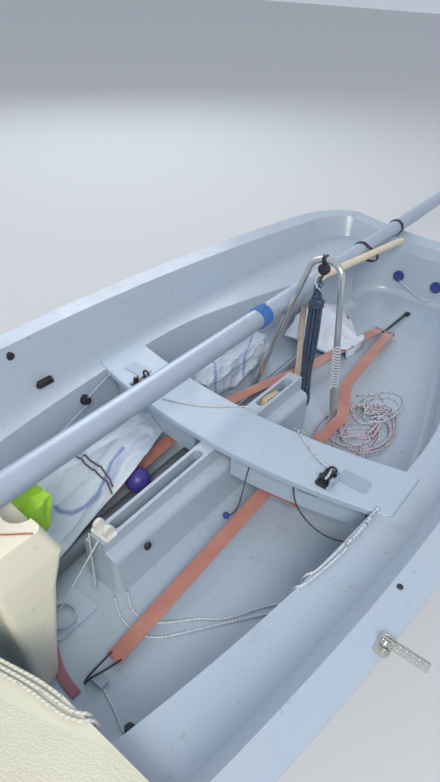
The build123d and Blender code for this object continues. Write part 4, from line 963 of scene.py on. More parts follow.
HEAPS: tuple[Heap, ...] = (
    Heap("heap_rope", SPECKLED, 0.009, 10, (1.430, 0.268), 0.176, 0.118, 1.0, ("rope_pile",)),
    Heap("heap_rope_thin", FLECKED, 0.007, 4, (1.268, 0.258), 0.118, 0.082, 6.0),
)


class Ropes:
    """Every line in the boat, slack or taut, with the coils made in them."""

    FLOOR_Z = 0.2006
    HEAP_STEPS = 18
    HEAP_FENCE = (0.104, 0.424)
    HEAP_RISE = 0.92
    HEAP_LAYERS = 5.5
    HANK_R = 0.0042
    HANK_LEGS = 10
    HANK_SKIP = 3
    HANK_HEIGHTS = (0.748, 0.712, 0.600, 0.500, 0.430, 0.385, 0.312, 0.264)
    HANK_SPREAD = (0.0160, 0.0222, 0.0250, 0.0236, 0.0180, 0.0174, 0.0236, 0.0278)
    HANK_WANDER = 0.0030
    HANK_TURNS = 4
    HANK_TURN_STEPS = 14
    HANK_TIES = ((BLACK_CORD, 0.0024, 0.0), (NAVY_ROPE, 0.0026, 2.1), (PLAIN_ROPE, 0.0020, 4.2))
    HOOP_TURNS = 15
    HOOP_STEPS = 12
    HOOP_REACH = 0.0152
    HOOP_CORD_R = 0.0022
    HOOP_FROM = 0.585
    HOOP_DOWN = 0.185
    HOOP_FOOT: Point = (1.505, 0.168, 0.21)
    HOOP_LEG: Point = (0.025, 0.076, 0.67)
    MAST_AFT = Vector((0.0, -0.283, 0.5536))
    MAST_FORE = Vector((2.840, -0.050, 0.7472))
    MAST_R = 0.038
    BLUE_R = 0.0030
    BLUE_PITCH = 0.0070
    BLUE_END = 0.010
    BLUE_CLEAR = 0.0006
    BLUE_LIFT = 0.0012
    BLUE_STEPS = 10
    BINDING_R = 0.0026
    BINDING_STEPS = 24
    POLE_ANGLE = 1.855
    BINDINGS = (("mast_binding", 0.070, 4, 0.0), ("pole_binding", 0.598, 5, 0.059))

    def __init__(self, loft: Loft) -> None:
        """Keeps the sweeping tools at hand.

        Args:
            loft: What sweeps tubes and webs.
        """
        self.loft = loft

    def build(self) -> None:
        """Makes the lines, the heap, the hank, the winding on the hoop and the lashings."""
        for line in LINES:
            self.run(line)
        laid: list[Vector] = []
        for heap in HEAPS:
            points = self.dropped(heap.plan(self.HEAP_STEPS, self.HEAP_FENCE), heap.diameter, laid)
            self.run(Line(heap.name, heap.finish, heap.diameter, tuple(points), lay="coiled"), heap.nodes)
        self.hank()
        self.hoop_winding()
        self.blue_turns()
        self.bindings()

    def run(self, line: Line, nodes: Sequence[str] = ()) -> None:
        """Args:
            line: The line's facts.
            nodes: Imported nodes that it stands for.
        """
        path = self.loft.smooth(line.points, 6)
        piece = self.loft.tube(line.name, path, line.diameter / 2, line.finish, line.lobes, 6 * line.diameter)
        if nodes:
            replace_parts(piece, *nodes)
        if line.free:
            round(self.loft.length(path), 3)

    def dropped(self, plan: Sequence[Spot], thick: float, laid: list[Vector]) -> list[Point]:
        """Lets a rope down on the floor along a plan, over what is laid there before.

        Args:
            plan: Its control points, seen from above.
            thick: Its thickness.
            laid: Places taken so far, which grows by this rope's.

        Returns:
            The control points with their heights.
        """
        route = self.loft.smooth([(x, y, 0.0) for x, y in plan], 5)
        heights: list[float] = []
        for index, at in enumerate(route):
            height = self.FLOOR_Z + thick / 2
            own = (Vector((*there.xy, z)) for there, z in zip(route[:max(0, index - 9)], heights))
            for other in (*laid, *own):
                if abs(other.x - at.x) < thick and abs(other.y - at.y) < thick:
                    height = max(height, other.z + thick * self.HEAP_RISE)
            heights.append(min(height, self.FLOOR_Z + self.HEAP_LAYERS * thick))
        wide = [max(heights[max(0, index - 3):index + 4]) for index in range(len(heights))]
        spans = [wide[max(0, index - 2):index + 3] for index in range(len(wide))]
        even = [sum(span) / len(span) for span in spans]
        laid.extend(Vector((at.x, at.y, z)) for at, z in zip(route, even))
        last = len(plan) - 1
        return [(x, y, even[round(index / last * (len(even) - 1))]) for index, (x, y) in enumerate(plan)]

    def leg_angle(self, leg: int) -> float:
        """Where one leg of the hank hangs, with legs that follow each other well apart."""
        return 2 * math.pi * (leg * self.HANK_SKIP % self.HANK_LEGS) / self.HANK_LEGS + 0.3

    def hank(self) -> None:
        """Mainsheet hung from the block: legs up and down, turns round them, and loose ends above."""
        low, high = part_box("mainsheet_hank")
        x, y = Vector(((low.x + high.x) / 2, (low.y + high.y) / 2))
        top = high.z
        points: list[Point] = [(x - 0.004, y + 0.004, top - 0.002), (x - 0.002, y, top - 0.040)]
        for leg in range(self.HANK_LEGS):
            angle, following = self.leg_angle(leg), self.leg_angle(leg + 1)
            column = []
            for height, out in zip(self.HANK_HEIGHTS, self.HANK_SPREAD):
                wander = self.HANK_WANDER * noise.noise(Vector((leg * 3.1, height * 14.0, 0.0)))
                column.append(around(x, y, out + wander, angle, height))
            if leg % 2:
                points.extend(reversed(column))
                if leg < self.HANK_LEGS - 1:
                    points.append(around(x, y, 0.012, (angle + following) / 2, 0.778 + 0.004 * (leg // 2)))
            else:
                deep = 0.220 + 0.011 * (leg % 4)
                points.extend(column)
                points.append(around(x, y, 0.021, angle, deep + 0.004))
                points.append(around(x, y, 0.021, following, deep))
        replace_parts(self.loft.wire("mainsheet_legs", points, 5, self.HANK_R, NAVY_ROPE), "mainsheet_hank")
        turns = []
        for step in range(self.HANK_TURNS * self.HANK_TURN_STEPS + 1):
            turn = step / self.HANK_TURN_STEPS
            angle = 2 * math.pi * turn
            out = 0.0282 + 0.0012 * math.sin(1.9 * turn)
            turns.append(around(x, y, out, angle, 0.738 - 0.0088 * turn + 0.006 * math.sin(angle + 0.8)))
        self.loft.wire("mainsheet_turns", turns, 3, self.HANK_R, NAVY_ROPE)
        for number, (finish, radius, phase) in enumerate(self.HANK_TIES):
            wisp = []
            for step in range(13):
                share = step / 12
                out = 0.0085 + 0.006 * math.sin(math.pi * share) + 0.002 * number
                wisp.append(around(x, y, out, phase + 5.0 * share, top - 0.002 - 0.085 * share))
            self.loft.wire(f"hank_tie_{number + 1}", wisp, 4, radius, finish)

    def hoop_winding(self) -> None:
        """White cord wound round the leg of the hoop to port."""
        foot_x, foot_y, foot_z = self.HOOP_FOOT
        leg_x, leg_y, leg_z = self.HOOP_LEG
        wound = []
        last = self.HOOP_TURNS * self.HOOP_STEPS
        for step in range(last + 1):
            height = self.HOOP_FROM - self.HOOP_DOWN * (step / last)
            up = (height - foot_z) / leg_z
            angle = 2 * math.pi * step / self.HOOP_STEPS
            wound.append(around(foot_x - leg_x * up, foot_y - leg_y * up, self.HOOP_REACH, angle, height))
        self.loft.wire("hoop_winding", wound, 3, self.HOOP_CORD_R, WHITE_CORD)

    def mast_axes(self) -> tuple[Vector, Vector, Vector]:
        """Directions along the mast, up from it and sideways from it."""
        ahead = (self.MAST_FORE - self.MAST_AFT).normalized()
        side = Vector((0.0, 0.0, 1.0)).cross(ahead).normalized()
        return ahead, ahead.cross(side), side

    def blue_turns(self) -> None:
        """Blue cord wound closely round the mast."""
        low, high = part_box("blue_lashing")
        middle = (low + high) / 2
        start = Vector((high.x - self.BLUE_END, 0.0, 0.0))
        end_x = low.x + self.BLUE_END
        last = int((start.x - end_x) / self.BLUE_PITCH) * self.BLUE_STEPS
        ahead, up, side = self.mast_axes()
        points = []
        for step in range(last + 1):
            share = step / last
            x = start.x + (end_x - start.x) * share
            centre = middle + ahead * ((x - middle.x) / ahead.x)
            angle = 2 * math.pi * step / self.BLUE_STEPS
            out = self.MAST_R + self.BLUE_R + self.BLUE_CLEAR + self.BLUE_LIFT * abs(math.sin(7.0 * share))
            points.append(tuple(centre + (up * math.cos(angle) + side * math.sin(angle)) * out))
        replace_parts(self.loft.wire("blue_turns", points, 3, self.BLUE_R, BLUE_CORD), "blue_lashing")

    def bindings(self) -> None:
        """Black cord wound round the mast aft, and round mast and pole together further forward."""
        ahead, up, side = self.mast_axes()
        for name, x, turns, hangs in self.BINDINGS:
            centre = self.MAST_AFT + ahead * (x / ahead.x)
            points = []
            for step in range(turns * self.BINDING_STEPS + 1):
                share = step / (turns * self.BINDING_STEPS)
                angle = 2 * math.pi * step / self.BINDING_STEPS
                out = 0.0402 + 0.0012 * math.sin(5.0 * share)
                down = math.cos(angle - self.POLE_ANGLE) if hangs else 0.0
                if down > 0.0:
                    out += hangs * down ** 7
                along = ahead * (0.028 * (share - 0.5) + 0.004 * math.sin(2.3 * angle))
                points.append(tuple(centre + along + (up * math.cos(angle) + side * math.sin(angle)) * out))
            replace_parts(self.loft.wire(name, points, 3, self.BINDING_R, BLACK_CORD), "black_lashings")


@dataclass(frozen=True)
class Bundle:
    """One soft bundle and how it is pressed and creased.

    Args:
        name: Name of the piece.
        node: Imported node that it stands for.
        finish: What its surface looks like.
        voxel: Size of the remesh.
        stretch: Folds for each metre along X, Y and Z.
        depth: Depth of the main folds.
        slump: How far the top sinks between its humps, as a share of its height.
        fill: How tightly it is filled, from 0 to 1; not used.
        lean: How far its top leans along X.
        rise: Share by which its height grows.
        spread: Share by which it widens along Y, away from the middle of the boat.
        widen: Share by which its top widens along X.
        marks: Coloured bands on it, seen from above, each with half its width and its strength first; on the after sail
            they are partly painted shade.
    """

    name: str
    node: str
    finish: Finish
    voxel: float
    stretch: Point
    depth: float
    slump: float
    fill: float = 0.2
    lean: float = 0.0
    rise: float = 0.0
    spread: float = 0.0
    widen: float = 0.0
    marks: tuple[Mark, ...] = ()


BUNDLES: tuple[Bundle, ...] = (
    Bundle("forward_sail", "sail_bundle_forward", SAILCLOTH, 0.0075, (4.5, 15.0, 9.0), 0.034, 0.42),
    Bundle("after_sail", "sail_bundle_aft", SAILCLOTH, 0.0075, (6.0, 15.0, 11.0), 0.030, 0.30, rise=0.10,
           # Blue bands on the after sail: partly stripes, partly painted shade.
           marks=((0.006, 0.8, ((1.700, -0.300), (1.640, -0.352), (1.590, -0.420), (1.560, -0.470))),
                  (0.010, 0.4, ((1.600, -0.290), (1.500, -0.320), (1.380, -0.330), (1.280, -0.310))),
                  (0.005, 0.8, ((1.520, -0.286), (1.440, -0.330), (1.330, -0.380), (1.260, -0.440))),
                  (0.008, 0.5, ((1.760, -0.380), (1.640, -0.400), (1.500, -0.420), (1.340, -0.400))))),
    Bundle("stuffed_bag", "sail_bag", BAG_CLOTH, 0.007, (8.0, 12.0, 10.0), 0.018, 0.20, fill=0.4),
    Bundle("lime_bundle", "lime_cloth", LIME, 0.006, (17.0, 15.0, 7.0), 0.022, 0.08, lean=-0.11, rise=0.37,
           spread=0.35, widen=0.75),
)


@dataclass(frozen=True)
class Drape:
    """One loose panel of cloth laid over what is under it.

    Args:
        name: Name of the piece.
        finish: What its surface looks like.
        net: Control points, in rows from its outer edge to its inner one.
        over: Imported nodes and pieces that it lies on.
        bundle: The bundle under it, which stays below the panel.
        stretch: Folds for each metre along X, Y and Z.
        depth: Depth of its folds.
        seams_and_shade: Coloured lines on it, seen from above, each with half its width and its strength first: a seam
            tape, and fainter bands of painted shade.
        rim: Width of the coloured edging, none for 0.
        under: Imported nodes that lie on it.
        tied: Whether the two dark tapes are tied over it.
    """

    name: str
    finish: Finish
    net: tuple[tuple[Point, ...], ...]
    over: tuple[str, ...]
    bundle: str
    stretch: Point
    depth: float
    seams_and_shade: tuple[Mark, ...] = ()
    rim: float = 0.0
    under: tuple[str, ...] = ()
    tied: bool = False


DRAPES: tuple[Drape, ...] = (
    Drape("sail_panel", SAILCLOTH, (
        ((2.040, -0.470, 0.318), (2.120, -0.475, 0.345), (2.200, -0.478, 0.350), (2.270, -0.478, 0.352),
         (2.330, -0.476, 0.350), (2.390, -0.474, 0.345), (2.480, -0.470, 0.330),
         (2.580, -0.462, 0.300), (2.680, -0.450, 0.260), (2.748, -0.440, 0.206)),
        ((2.036, -0.420, 0.350), (2.110, -0.425, 0.398), (2.200, -0.428, 0.436), (2.270, -0.428, 0.438),
         (2.330, -0.428, 0.438), (2.390, -0.426, 0.435), (2.480, -0.420, 0.418),
         (2.580, -0.405, 0.384), (2.680, -0.390, 0.325), (2.754, -0.380, 0.212)),
        ((2.030, -0.345, 0.352), (2.105, -0.340, 0.396), (2.200, -0.338, 0.430), (2.270, -0.338, 0.432),
         (2.330, -0.336, 0.430), (2.390, -0.334, 0.428), (2.480, -0.330, 0.408),
         (2.580, -0.320, 0.370), (2.680, -0.300, 0.318), (2.756, -0.290, 0.218)),
        ((2.024, -0.292, 0.344), (2.105, -0.276, 0.372), (2.200, -0.260, 0.384), (2.270, -0.258, 0.396),
         (2.330, -0.254, 0.400), (2.390, -0.252, 0.392), (2.480, -0.248, 0.366),
         (2.580, -0.236, 0.330), (2.680, -0.218, 0.292), (2.752, -0.210, 0.244)),
        ((2.020, -0.270, 0.334), (2.105, -0.246, 0.356), (2.200, -0.216, 0.366), (2.270, -0.190, 0.384),
         (2.330, -0.180, 0.390), (2.390, -0.180, 0.370), (2.480, -0.184, 0.332),
         (2.580, -0.176, 0.302), (2.680, -0.158, 0.280), (2.744, -0.150, 0.266)),
        ((2.018, -0.262, 0.326), (2.105, -0.232, 0.344), (2.200, -0.196, 0.352), (2.270, -0.164, 0.374),
         (2.330, -0.148, 0.380), (2.390, -0.146, 0.350), (2.480, -0.152, 0.306),
         (2.580, -0.144, 0.284), (2.680, -0.124, 0.273), (2.738, -0.116, 0.270)),
    ), ("boom_tube", "boom_ends", "purple_ball", "toe_strap_starboard"), "forward_sail", (2.4, 13.0, 5.0), 0.013,
          # A seam tape, then two fainter bands of painted shade.
          seams_and_shade=((0.0060, 0.95, ((2.630, -0.330), (2.601, -0.279), (2.585, -0.238), (2.560, -0.208), (2.516, -0.190),
                                 (2.461, -0.188), (2.410, -0.206), (2.350, -0.228), (2.290, -0.244))),
                 (0.0110, 0.40, ((2.420, -0.186), (2.340, -0.206), (2.250, -0.228), (2.170, -0.246))),
                 (0.0050, 0.30, ((2.420, -0.255), (2.330, -0.276), (2.200, -0.290), (2.110, -0.296)))),
          under=("thwart",), tied=True),
    Drape("bag_panel", BAG_CLOTH, (
        ((0.640, -0.352, 0.262), (0.740, -0.362, 0.330), (0.860, -0.366, 0.346), (0.970, -0.366, 0.330),
         (1.090, -0.362, 0.258)),
        ((0.622, -0.300, 0.292), (0.740, -0.308, 0.350), (0.860, -0.312, 0.362), (0.970, -0.312, 0.350),
         (1.104, -0.306, 0.282)),
        ((0.650, -0.220, 0.268), (0.750, -0.226, 0.322), (0.860, -0.230, 0.338), (0.970, -0.228, 0.322),
         (1.088, -0.220, 0.262)),
        ((0.716, -0.120, 0.224), (0.790, -0.124, 0.276), (0.870, -0.126, 0.288), (0.950, -0.122, 0.274),
         (1.050, -0.112, 0.224)),
        ((0.800, -0.030, 0.206), (0.840, -0.022, 0.214), (0.880, -0.016, 0.216), (0.930, -0.020, 0.214),
         (0.990, -0.034, 0.206)),
    ), ("toe_strap_starboard",), "stuffed_bag", (6.0, 8.0, 5.0), 0.014, rim=0.008, under=("tiller",)),
)


@dataclass(frozen=True)
class Turning:
    """One small round piece turned from a profile.

    Args:
        name: Name of the piece.
        finish: What its surface looks like.
        profile: Height and radius of each ring, from its foot up.
        foot: Where its axis starts.
        facing: Direction of its axis.
        ridges: Grip ridges round it.
        nodes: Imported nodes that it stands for.
    """

    name: str
    finish: Finish
    profile: tuple[Spot, ...]
    foot: Point
    facing: Point = (0.0, 0.0, 1.0)
    ridges: int = 0
    nodes: tuple[str, ...] = ()


TURNINGS: tuple[Turning, ...] = (
    Turning("knob_disc", BLACK, (
        (0.0, 0.0055), (0.004, 0.0055), (0.006, 0.0105), (0.0075, 0.0128), (0.0125, 0.0128), (0.0150, 0.0110),
        (0.0158, 0.0070), (0.0152, 0.0),
    ), (2.512, 0.0765, 0.330), (0.0, 1.0, 0.12), ridges=10, nodes=("case_knob",)),
    Turning("cord_ball", BUNG, (
        (-0.0112, 0.0), (-0.0106, 0.0040), (-0.0078, 0.0082), (-0.0036, 0.0108), (0.0, 0.0114), (0.0040, 0.0107),
        (0.0080, 0.0080), (0.0104, 0.0042), (0.0112, 0.0),
    ), (2.176, 0.131, 0.2118), (1.0, -0.3, 0.1)),
    Turning("flange_stud", BLACK, ((0.0, 0.0075), (0.003, 0.0075), (0.0045, 0.0060), (0.0052, 0.0)),
            (2.382, 0.782, 0.6155)),
    Turning("floor_plug", BLACK, (
        (0.0, 0.0140), (0.0035, 0.0140), (0.0060, 0.0115), (0.0066, 0.0050), (0.0050, 0.0),
    ), (2.880, 0.372, 0.2002), ridges=6),
)


class Fittings:
    """Small hard pieces that stand for plainer packed ones, or ride with the ropes and sails."""

    STEPS = 40
    RIDGE = 0.05
    TIP_R = 0.0001
    SHARP = math.radians(40.0)
    RING_R = 0.011
    RING_WIRE = 0.0022
    RING_STEPS = 32

    def __init__(self, loft: Loft) -> None:
        """Keeps the sweeping tools at hand.

        Args:
            loft: What sweeps tubes and webs.
        """
        self.loft = loft

    def build(self) -> None:
        """Makes the ring on the sail's tie and the turned pieces."""
        self.ring("tie_ring", Vector((2.424, -0.302, 0.424)), Vector((0.25, 0.2, 1.0)))
        for turning in TURNINGS:
            self.turned(turning)

    def turned(self, turning: Turning) -> None:
        """Makes one piece from its profile, with grip ridges round it where asked.

        Args:
            turning: The piece's facts.
        """
        foot = Vector(turning.foot)
        ahead = Vector(turning.facing).normalized()
        side = ahead.orthogonal().normalized()
        up = ahead.cross(side)
        steps, rings = self.STEPS, len(turning.profile)
        vertices = []
        for height, radius in turning.profile:
            for step in range(steps):
                angle = 2 * math.pi * step / steps
                grip = self.RIDGE * math.cos(turning.ridges * angle) if turning.ridges else 0.0
                reach = max(radius, self.TIP_R) * (1.0 + grip)
                vertices.append(foot + ahead * height + (side * math.cos(angle) + up * math.sin(angle)) * reach)
        faces = [(ring * steps + step, ring * steps + (step + 1) % steps, (ring + 1) * steps + (step + 1) % steps,
                  (ring + 1) * steps + step) for ring in range(rings - 1) for step in range(steps)]
        faces.append(tuple(reversed(range(steps))))
        faces.append(tuple(range((rings - 1) * steps, rings * steps)))
        piece = self.loft.place(turning.name, vertices, faces, turning.finish)
        activate(piece)
        bpy.ops.object.shade_smooth_by_angle(angle=self.SHARP)
        if turning.nodes:
            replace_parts(piece, *turning.nodes)

    def ring(self, name: str, centre: Vector, facing: Vector) -> None:
        """Makes a round wire ring.

        Args:
            name: Name of the piece.
            centre: Its middle.
            facing: The way that it faces.
        """
        side = facing.orthogonal().normalized()
        up = facing.normalized().cross(side)
        angles = [2 * math.pi * step / self.RING_STEPS for step in range(self.RING_STEPS + 1)]
        line = [centre + (side * math.cos(angle) + up * math.sin(angle)) * self.RING_R for angle in angles]
        self.loft.tube(name, line, self.RING_WIRE, STEEL)


@dataclass(frozen=True)
class Band:
    """One flat band of webbing or tape.

    Args:
        name: Name of the piece.
        finish: What its surface looks like.
        half: Half its width.
        thick: Its thickness.
        steps: Points for each span of its route.
        points: Control points of its route.
        nodes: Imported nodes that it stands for.
    """

    name: str
    finish: Finish
    half: float
    thick: float
    steps: int
    points: tuple[Point, ...]
    nodes: tuple[str, ...] = ()


STRAP_HALF = 0.025
BANDS: tuple[Band, ...] = (
    Band("toe_strap_port", WEBBING, STRAP_HALF, 0.003, 6, (
        (2.790, 0.216, 0.2217), (2.740, 0.216, 0.2272), (2.600, 0.216, 0.2427), (2.300, 0.216, 0.2757),
        (2.140, 0.216, 0.2940), (2.080, 0.216, 0.3010), (1.980, 0.216, 0.2986), (1.800, 0.216, 0.2960),
        (1.680, 0.213, 0.2888), (1.560, 0.210, 0.2815), (1.505, 0.211, 0.2782), (1.450, 0.185, 0.2749),
        (1.360, 0.143, 0.2694), (1.270, 0.103, 0.2640), (1.180, 0.089, 0.2586), (0.900, 0.058, 0.2417),
        (0.642, 0.0275, 0.2262),
    ), ("toe_straps",)),
    Band("toe_strap_starboard", WEBBING, STRAP_HALF, 0.003, 6, (
        (2.868, -0.216, 0.2130), (2.740, -0.216, 0.2272), (2.600, -0.216, 0.2427), (2.300, -0.216, 0.2757),
        (2.140, -0.216, 0.2940), (2.080, -0.216, 0.3010), (1.980, -0.216, 0.2986), (1.850, -0.216, 0.2967),
        (1.740, -0.199, 0.2924), (1.505, -0.160, 0.2782), (1.360, -0.125, 0.2694), (1.270, -0.103, 0.2640),
        (1.180, -0.092, 0.2586), (0.900, -0.058, 0.2417), (0.642, -0.0275, 0.2262),
    ), ("toe_straps",)),
    Band("strap_fold", WEBBING, STRAP_HALF * 0.9, 0.0026, 6, (
        (2.058, 0.232, 0.3046), (2.054, 0.250, 0.3056), (2.048, 0.282, 0.3056), (2.044, 0.308, 0.3030),
        (2.040, 0.334, 0.2940),
    )),
    Band("gate_tape", TAPE_PINK, 0.014, 0.0026, 8, (
        (2.862, 0.050, 0.2010), (2.884, 0.090, 0.2014), (2.900, 0.130, 0.2014), (2.908, 0.170, 0.2014),
        (2.910, 0.206, 0.2010),
    )),
)


class SoftGoods:
    """Sails, bag and cloth as crumpled bundles and loose panels, and the flat bands."""

    FRAMES = 20
    QUALITY = 4
    PRESSURE = 4.0
    CAP = 0.018
    FLOOR_Z = 0.2004
    SKY_Z = 2.0
    CLEAR_BELOW = 0.003
    CLEAR_ABOVE = 0.004
    CLEAR_FLOOR = 0.002
    CATCH = 0.08
    EDGE_EVERY = 6
    MAIN_FOLDS = ((1.0, 1.0, 0.0),)
    FINE_FOLDS = ((2.6, 0.20, 7.0), (7.0, 0.05, 3.0))
    PANEL_FOLDS = ((1.0, 1.0, 2.0), (3.0, 0.25, 5.0))
    WARP = 0.35
    WARP_RATE = 6.0
    RIDGE = 1.9
    TOP_FROM = 0.28
    RIPPLE = 0.010
    TIE_R = 0.0034
    TIE_LIFT = 0.0035
    TIES = (
        ("sail_tie_one", ((2.470, -0.452), (2.452, -0.400), (2.438, -0.344), (2.432, -0.308), (2.424, -0.247),
                          (2.418, -0.190), (2.428, -0.160))),
        ("sail_tie_two", ((2.448, -0.452), (2.438, -0.400), (2.426, -0.350), (2.414, -0.300), (2.400, -0.250),
                          (2.404, -0.206), (2.414, -0.170))),
    )

    def __init__(self, frame: dict, loft: Loft) -> None:
        """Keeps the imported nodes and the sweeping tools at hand.

        Args:
            loft: What sweeps tubes and webs.
        """
        self.frame = frame
        self.loft = loft

    def build(self) -> None:
        """Makes the bands, then every bundle with the panel that covers it."""
        for band in BANDS:
            piece = self.loft.web(band.name, self.loft.smooth(band.points, band.steps), band.half, band.thick,
                                  band.finish)
            if band.nodes:
                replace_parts(piece, *band.nodes)
        panels = {drape.bundle: drape for drape in DRAPES}
        for bundle in BUNDLES:
            drape = panels.get(bundle.name)
            panel = self.panel(drape) if drape else None
            self.crumple(bundle, panel)
            if panel:
                if drape.tied:
                    self.ties(panel)
                self.finish_panel(panel, drape)

    def ties(self, panel: bpy.types.Object) -> None:
        """Two dark tapes laid over the sail and down to the boom."""
        tree = self.tree(panel.name)
        for name, points in self.TIES:
            plan = self.loft.smooth([(x, y, 0.0) for x, y in points], 8)
            lifted = []
            for at in plan:
                under = self.top(tree, at)
                if under is not None:
                    lifted.append(Vector((at.x, at.y, under + self.TIE_LIFT)))
            self.loft.tube(name, lifted, self.TIE_R, BLACK_WEB_CORD)

    @staticmethod
    def tree(name: str) -> BVHTree:
        """Search tree of one object's faces."""
        mesh = bpy.data.objects[name].data
        return BVHTree.FromPolygons([vertex.co for vertex in mesh.vertices],
                                    [tuple(polygon.vertices) for polygon in mesh.polygons])

    def top(self, tree: BVHTree, at: Vector) -> Optional[float]:
        """Height of the highest face at a point, seen from above, or None where there is none."""
        hit = tree.ray_cast(Vector((at.x, at.y, self.SKY_Z)), Vector((0.0, 0.0, -1.0)))
        return hit[0].z if hit[0] else None

    def bottom(self, tree: BVHTree, at: Vector) -> Optional[float]:
        """Height of the lowest face above the floor at a point, or None where there is none."""
        hit = tree.ray_cast(Vector((at.x, at.y, self.FLOOR_Z)), Vector((0.0, 0.0, 1.0)))
        return hit[0].z if hit[0] else None

    def panel(self, drape: Drape) -> bpy.types.Object:
        """Makes one layer of cloth from its net, clear of what it lies on.

        Args:
            drape: The panel's facts.

        Returns:
            The object, still without thickness.
        """
        rows = [self.loft.smooth(row, PANEL_ALONG) for row in drape.net]
        columns = [self.loft.smooth([tuple(row[index]) for row in rows], PANEL_ACROSS)
                   for index in range(len(rows[0]))]
        deep = len(columns[0])
        vertices = [point for column in columns for point in column]
        faces = [(a * deep + b, (a + 1) * deep + b, (a + 1) * deep + b + 1, a * deep + b + 1)
                 for a in range(len(columns) - 1) for b in range(deep - 1)]
        piece = self.loft.place(drape.name, vertices, faces, drape.finish)
        if sum(polygon.normal.z for polygon in piece.data.polygons) < 0.0:
            piece.data.flip_normals()
        self.fold(piece, drape, self.PANEL_FOLDS)
        self.lay(piece, drape)
        edge = [tuple(at.xy) for at in (*rows[0], *columns[-1], *reversed(rows[-1]), *reversed(columns[0]))]
        self.paint(piece, drape.seams_and_shade, drape.rim, edge[::self.EDGE_EVERY])
        return piece

    def lay(self, piece: bpy.types.Object, drape: Drape) -> None:
        """Brings a panel below what lies on it, and above the floor and what it lies on.

        Args:
            piece: The panel.
            drape: Its facts.
        """
        lower = [self.tree(name) for name in drape.over]
        upper = [self.tree(name) for name in drape.under]
        for vertex in piece.data.vertices:
            for tree in upper:
                over = self.bottom(tree, vertex.co)
                if over is not None:
                    vertex.co.z = min(vertex.co.z, over - self.CLEAR_BELOW)
            for tree in lower:
                under = self.top(tree, vertex.co)
                if under is not None and under < vertex.co.z + self.CATCH:
                    vertex.co.z = max(vertex.co.z, under + self.CLEAR_ABOVE)
            vertex.co.z = max(vertex.co.z, self.FLOOR_Z + self.CLEAR_FLOOR)
        piece.data.update()

    def paint(self, piece: bpy.types.Object, marks: Sequence[Mark], rim: float = 0.0,
              edge: Sequence[Spot] = ()) -> None:
        """Gives the piece's points the strength of the coloured bands on it, some of them painted shade, and of its
        edging.

        Args:
            piece: The bundle or panel.
            marks: Half width, strength and line of each band.
            rim: Width of the edging, none for 0.
            edge: The line that the edging follows.
        """
        values = []
        for vertex in piece.data.vertices:
            bands = (strength * clamp(1.6 - self.distance(vertex.co, line) / half) for half, strength, line in marks)
            value = max(bands, default=0.0)
            if rim:
                value = max(value, clamp(2.0 - self.distance(vertex.co, edge) / rim * 1.5))
            values.append(value)
        layer = piece.data.attributes.new(SEAM_AND_SHADE, "FLOAT", "POINT")
        layer.data.foreach_set("value", values)

    @staticmethod
    def distance(at: Vector, line: Sequence[Spot]) -> float:
        """Distance from a point to a line, seen from above."""
        best = 1.0
        for (x0, y0), (x1, y1) in zip(line, line[1:]):
            step = Vector((x1 - x0, y1 - y0))
            gone = Vector((at.x - x0, at.y - y0))
            share = clamp(gone.dot(step) / step.length_squared)
            best = min(best, (gone - step * share).length)
        return best

    def finish_panel(self, piece: bpy.types.Object, drape: Drape) -> None:
        row = self.loft.smooth(drape.net[len(drape.net) // 2], PANEL_ALONG)
        length = self.loft.length(row)
        thick = piece.modifiers.new("thickness", "SOLIDIFY")
        thick.thickness = PANEL_THICK
        thick.offset = -1.0
        activate(piece)
        bpy.ops.object.modifier_apply(modifier="thickness")
        for polygon in piece.data.polygons:
            polygon.use_smooth = True

    def crumple(self, bundle: Bundle, panel: Optional[bpy.types.Object]) -> None:
        """Makes one bundle: remesh, slump, folds, cloth and finer creases.

        Args:
            bundle: The bundle's facts.
            panel: Panel that it stays below, if there is one.
        """
        mesh = self.frame["nodes"][bundle.node].data.copy()
        mesh.name = bundle.name
        mesh.materials.clear()
        mesh.materials.append(self.loft.paints.get(bundle.finish))
        piece = bpy.data.objects.new(bundle.name, mesh)
        bpy.context.scene.collection.objects.link(piece)
        activate(piece)
        remesh = piece.modifiers.new("remesh", "REMESH")
        remesh.mode = "VOXEL"
        remesh.voxel_size = bundle.voxel
        bpy.ops.object.modifier_apply(modifier="remesh")
        self.shape(piece, bundle)
        self.press(piece)
        smooth = piece.modifiers.new("smooth", "SUBSURF")
        smooth.levels = 1
        smooth.render_levels = 1
        bpy.ops.object.modifier_apply(modifier="smooth")
        self.fold(piece, bundle, self.FINE_FOLDS)
        self.settle(piece, panel)
        if bundle.marks:
            self.paint(piece, bundle.marks)
        for polygon in piece.data.polygons:
            polygon.use_smooth = True
        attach(piece, BODY)
        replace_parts(piece, bundle.node)
        LOG.info("%s made", bundle.name)

    def shape(self, piece: bpy.types.Object, bundle: Bundle) -> None:
        """Gives the plain form its humps, its lean and its main folds."""
        low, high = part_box(bundle.node)
        height = high.z - low.z
        middle = (low + high) / 2
        for vertex in piece.data.vertices:
            at = vertex.co
            up = max(0.0, (at.z - self.FLOOR_Z) / height)
            hump = 0.5 + 0.5 * noise.noise(Vector((at.x * 5.0, at.y * 9.0, 4.0)))
            at.z = self.FLOOR_Z + (at.z - self.FLOOR_Z) * (1.0 + bundle.rise - bundle.slump * hump * up)
            above = max(0.0, up - self.TOP_FROM)
            at.x += bundle.lean * above + bundle.widen * above * (at.x - middle.x)
            at.y -= bundle.spread * above * (high.y - at.y)
            at.y += self.RIPPLE * up * noise.noise(Vector((at.x * 7.0, middle.y, at.z * 8.0)))
        piece.data.update()
        self.fold(piece, bundle, self.MAIN_FOLDS)

    def fold(self, piece: bpy.types.Object, facts: Union[Bundle, Drape], layers: Sequence[Point]) -> None:
        """Creases a surface in layers.

        Args:
            piece: The bundle or panel.
            facts: What says how far its folds stretch and how deep they are.
            layers: For each, how much finer it is, its share of the depth and the shift of its noise.
        """
        for finer, share, seed in layers:
            self.crease(piece, tuple(rate * finer for rate in facts.stretch), facts.depth * share, seed)

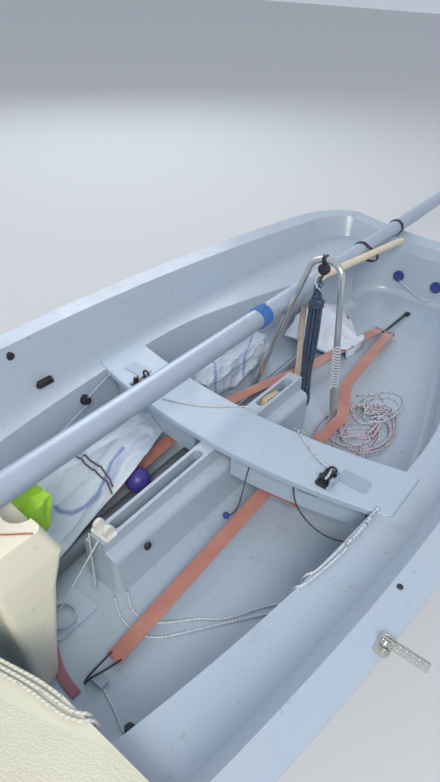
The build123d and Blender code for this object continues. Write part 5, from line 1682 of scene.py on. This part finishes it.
    def crease(self, piece: bpy.types.Object, stretch: Point, depth: float, seed: float) -> None:
        """Sinks the surface between sharp ridges of stretched noise.

        Args:
            piece: The bundle or panel.
            stretch: Folds for each metre along X, Y and Z.
            depth: How deep the surface sinks at most.
            seed: Shift of the noise.
        """
        piece.data.update()
        moves = []
        for vertex in piece.data.vertices:
            at = vertex.co
            warp = self.WARP * noise.noise(at * self.WARP_RATE)
            where = Vector((at.x * stretch[0] + warp + seed, at.y * stretch[1] + warp, at.z * stretch[2] + warp))
            ridge = 1.0 - min(1.0, self.RIDGE * abs(noise.noise(where)))
            moves.append(vertex.normal * (-depth * (1.0 - ridge * ridge)))
        for vertex, move in zip(piece.data.vertices, moves):
            vertex.co += move
        piece.data.update()

    def press(self, piece: bpy.types.Object) -> None:
        """Presses the bundle out as cloth and keeps the result, each point moving no further than the cap."""
        before = [vertex.co.copy() for vertex in piece.data.vertices]
        cloth = piece.modifiers.new("cloth", "CLOTH")
        cloth.settings.quality = self.QUALITY
        cloth.settings.use_pressure = True
        cloth.settings.uniform_pressure_force = self.PRESSURE
        cloth.settings.effector_weights.gravity = 0.0
        cloth.point_cache.frame_start = 1
        cloth.point_cache.frame_end = self.FRAMES
        for frame_number in range(1, self.FRAMES + 1):
            bpy.context.scene.frame_set(frame_number)
        bpy.ops.object.modifier_apply(modifier="cloth")
        bpy.context.scene.frame_set(1)
        for vertex, start in zip(piece.data.vertices, before):
            move = vertex.co - start
            if move.length > self.CAP:
                vertex.co = start + move.normalized() * self.CAP
        piece.data.update()

    def settle(self, piece: bpy.types.Object, panel: Optional[bpy.types.Object]) -> None:
        """Keeps the bundle on the floor, and below the panel that covers it."""
        tree = self.tree(panel.name) if panel else None
        for vertex in piece.data.vertices:
            over = self.top(tree, vertex.co) if tree else None
            if over is not None:
                vertex.co.z = min(vertex.co.z, over - self.CLEAR_ABOVE)
            vertex.co.z = max(vertex.co.z, self.FLOOR_Z)
        piece.data.update()


def dress_nodes(frame: dict, paints: Paints) -> None:
    """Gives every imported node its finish.

    Args:
        paints: The materials.
    """
    for name, node in frame["nodes"].items():
        material = paints.get(NODE_FINISH[name])
        if not node.material_slots:
            node.data.materials.append(material)
        for material_slot in node.material_slots:
            material_slot.material = material


def main() -> None:
    """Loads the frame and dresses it."""
    logging.basicConfig(level=logging.INFO)
    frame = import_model()
    paints = Paints()
    Studio().build()
    dress_nodes(frame, paints)
    loft = Loft(paints)
    Ropes(loft).build()
    SoftGoods(frame, loft).build()
    Fittings(loft).build()
    bpy.context.scene.view_settings.view_transform = "Standard"


if __name__ == "__main__":
    main()
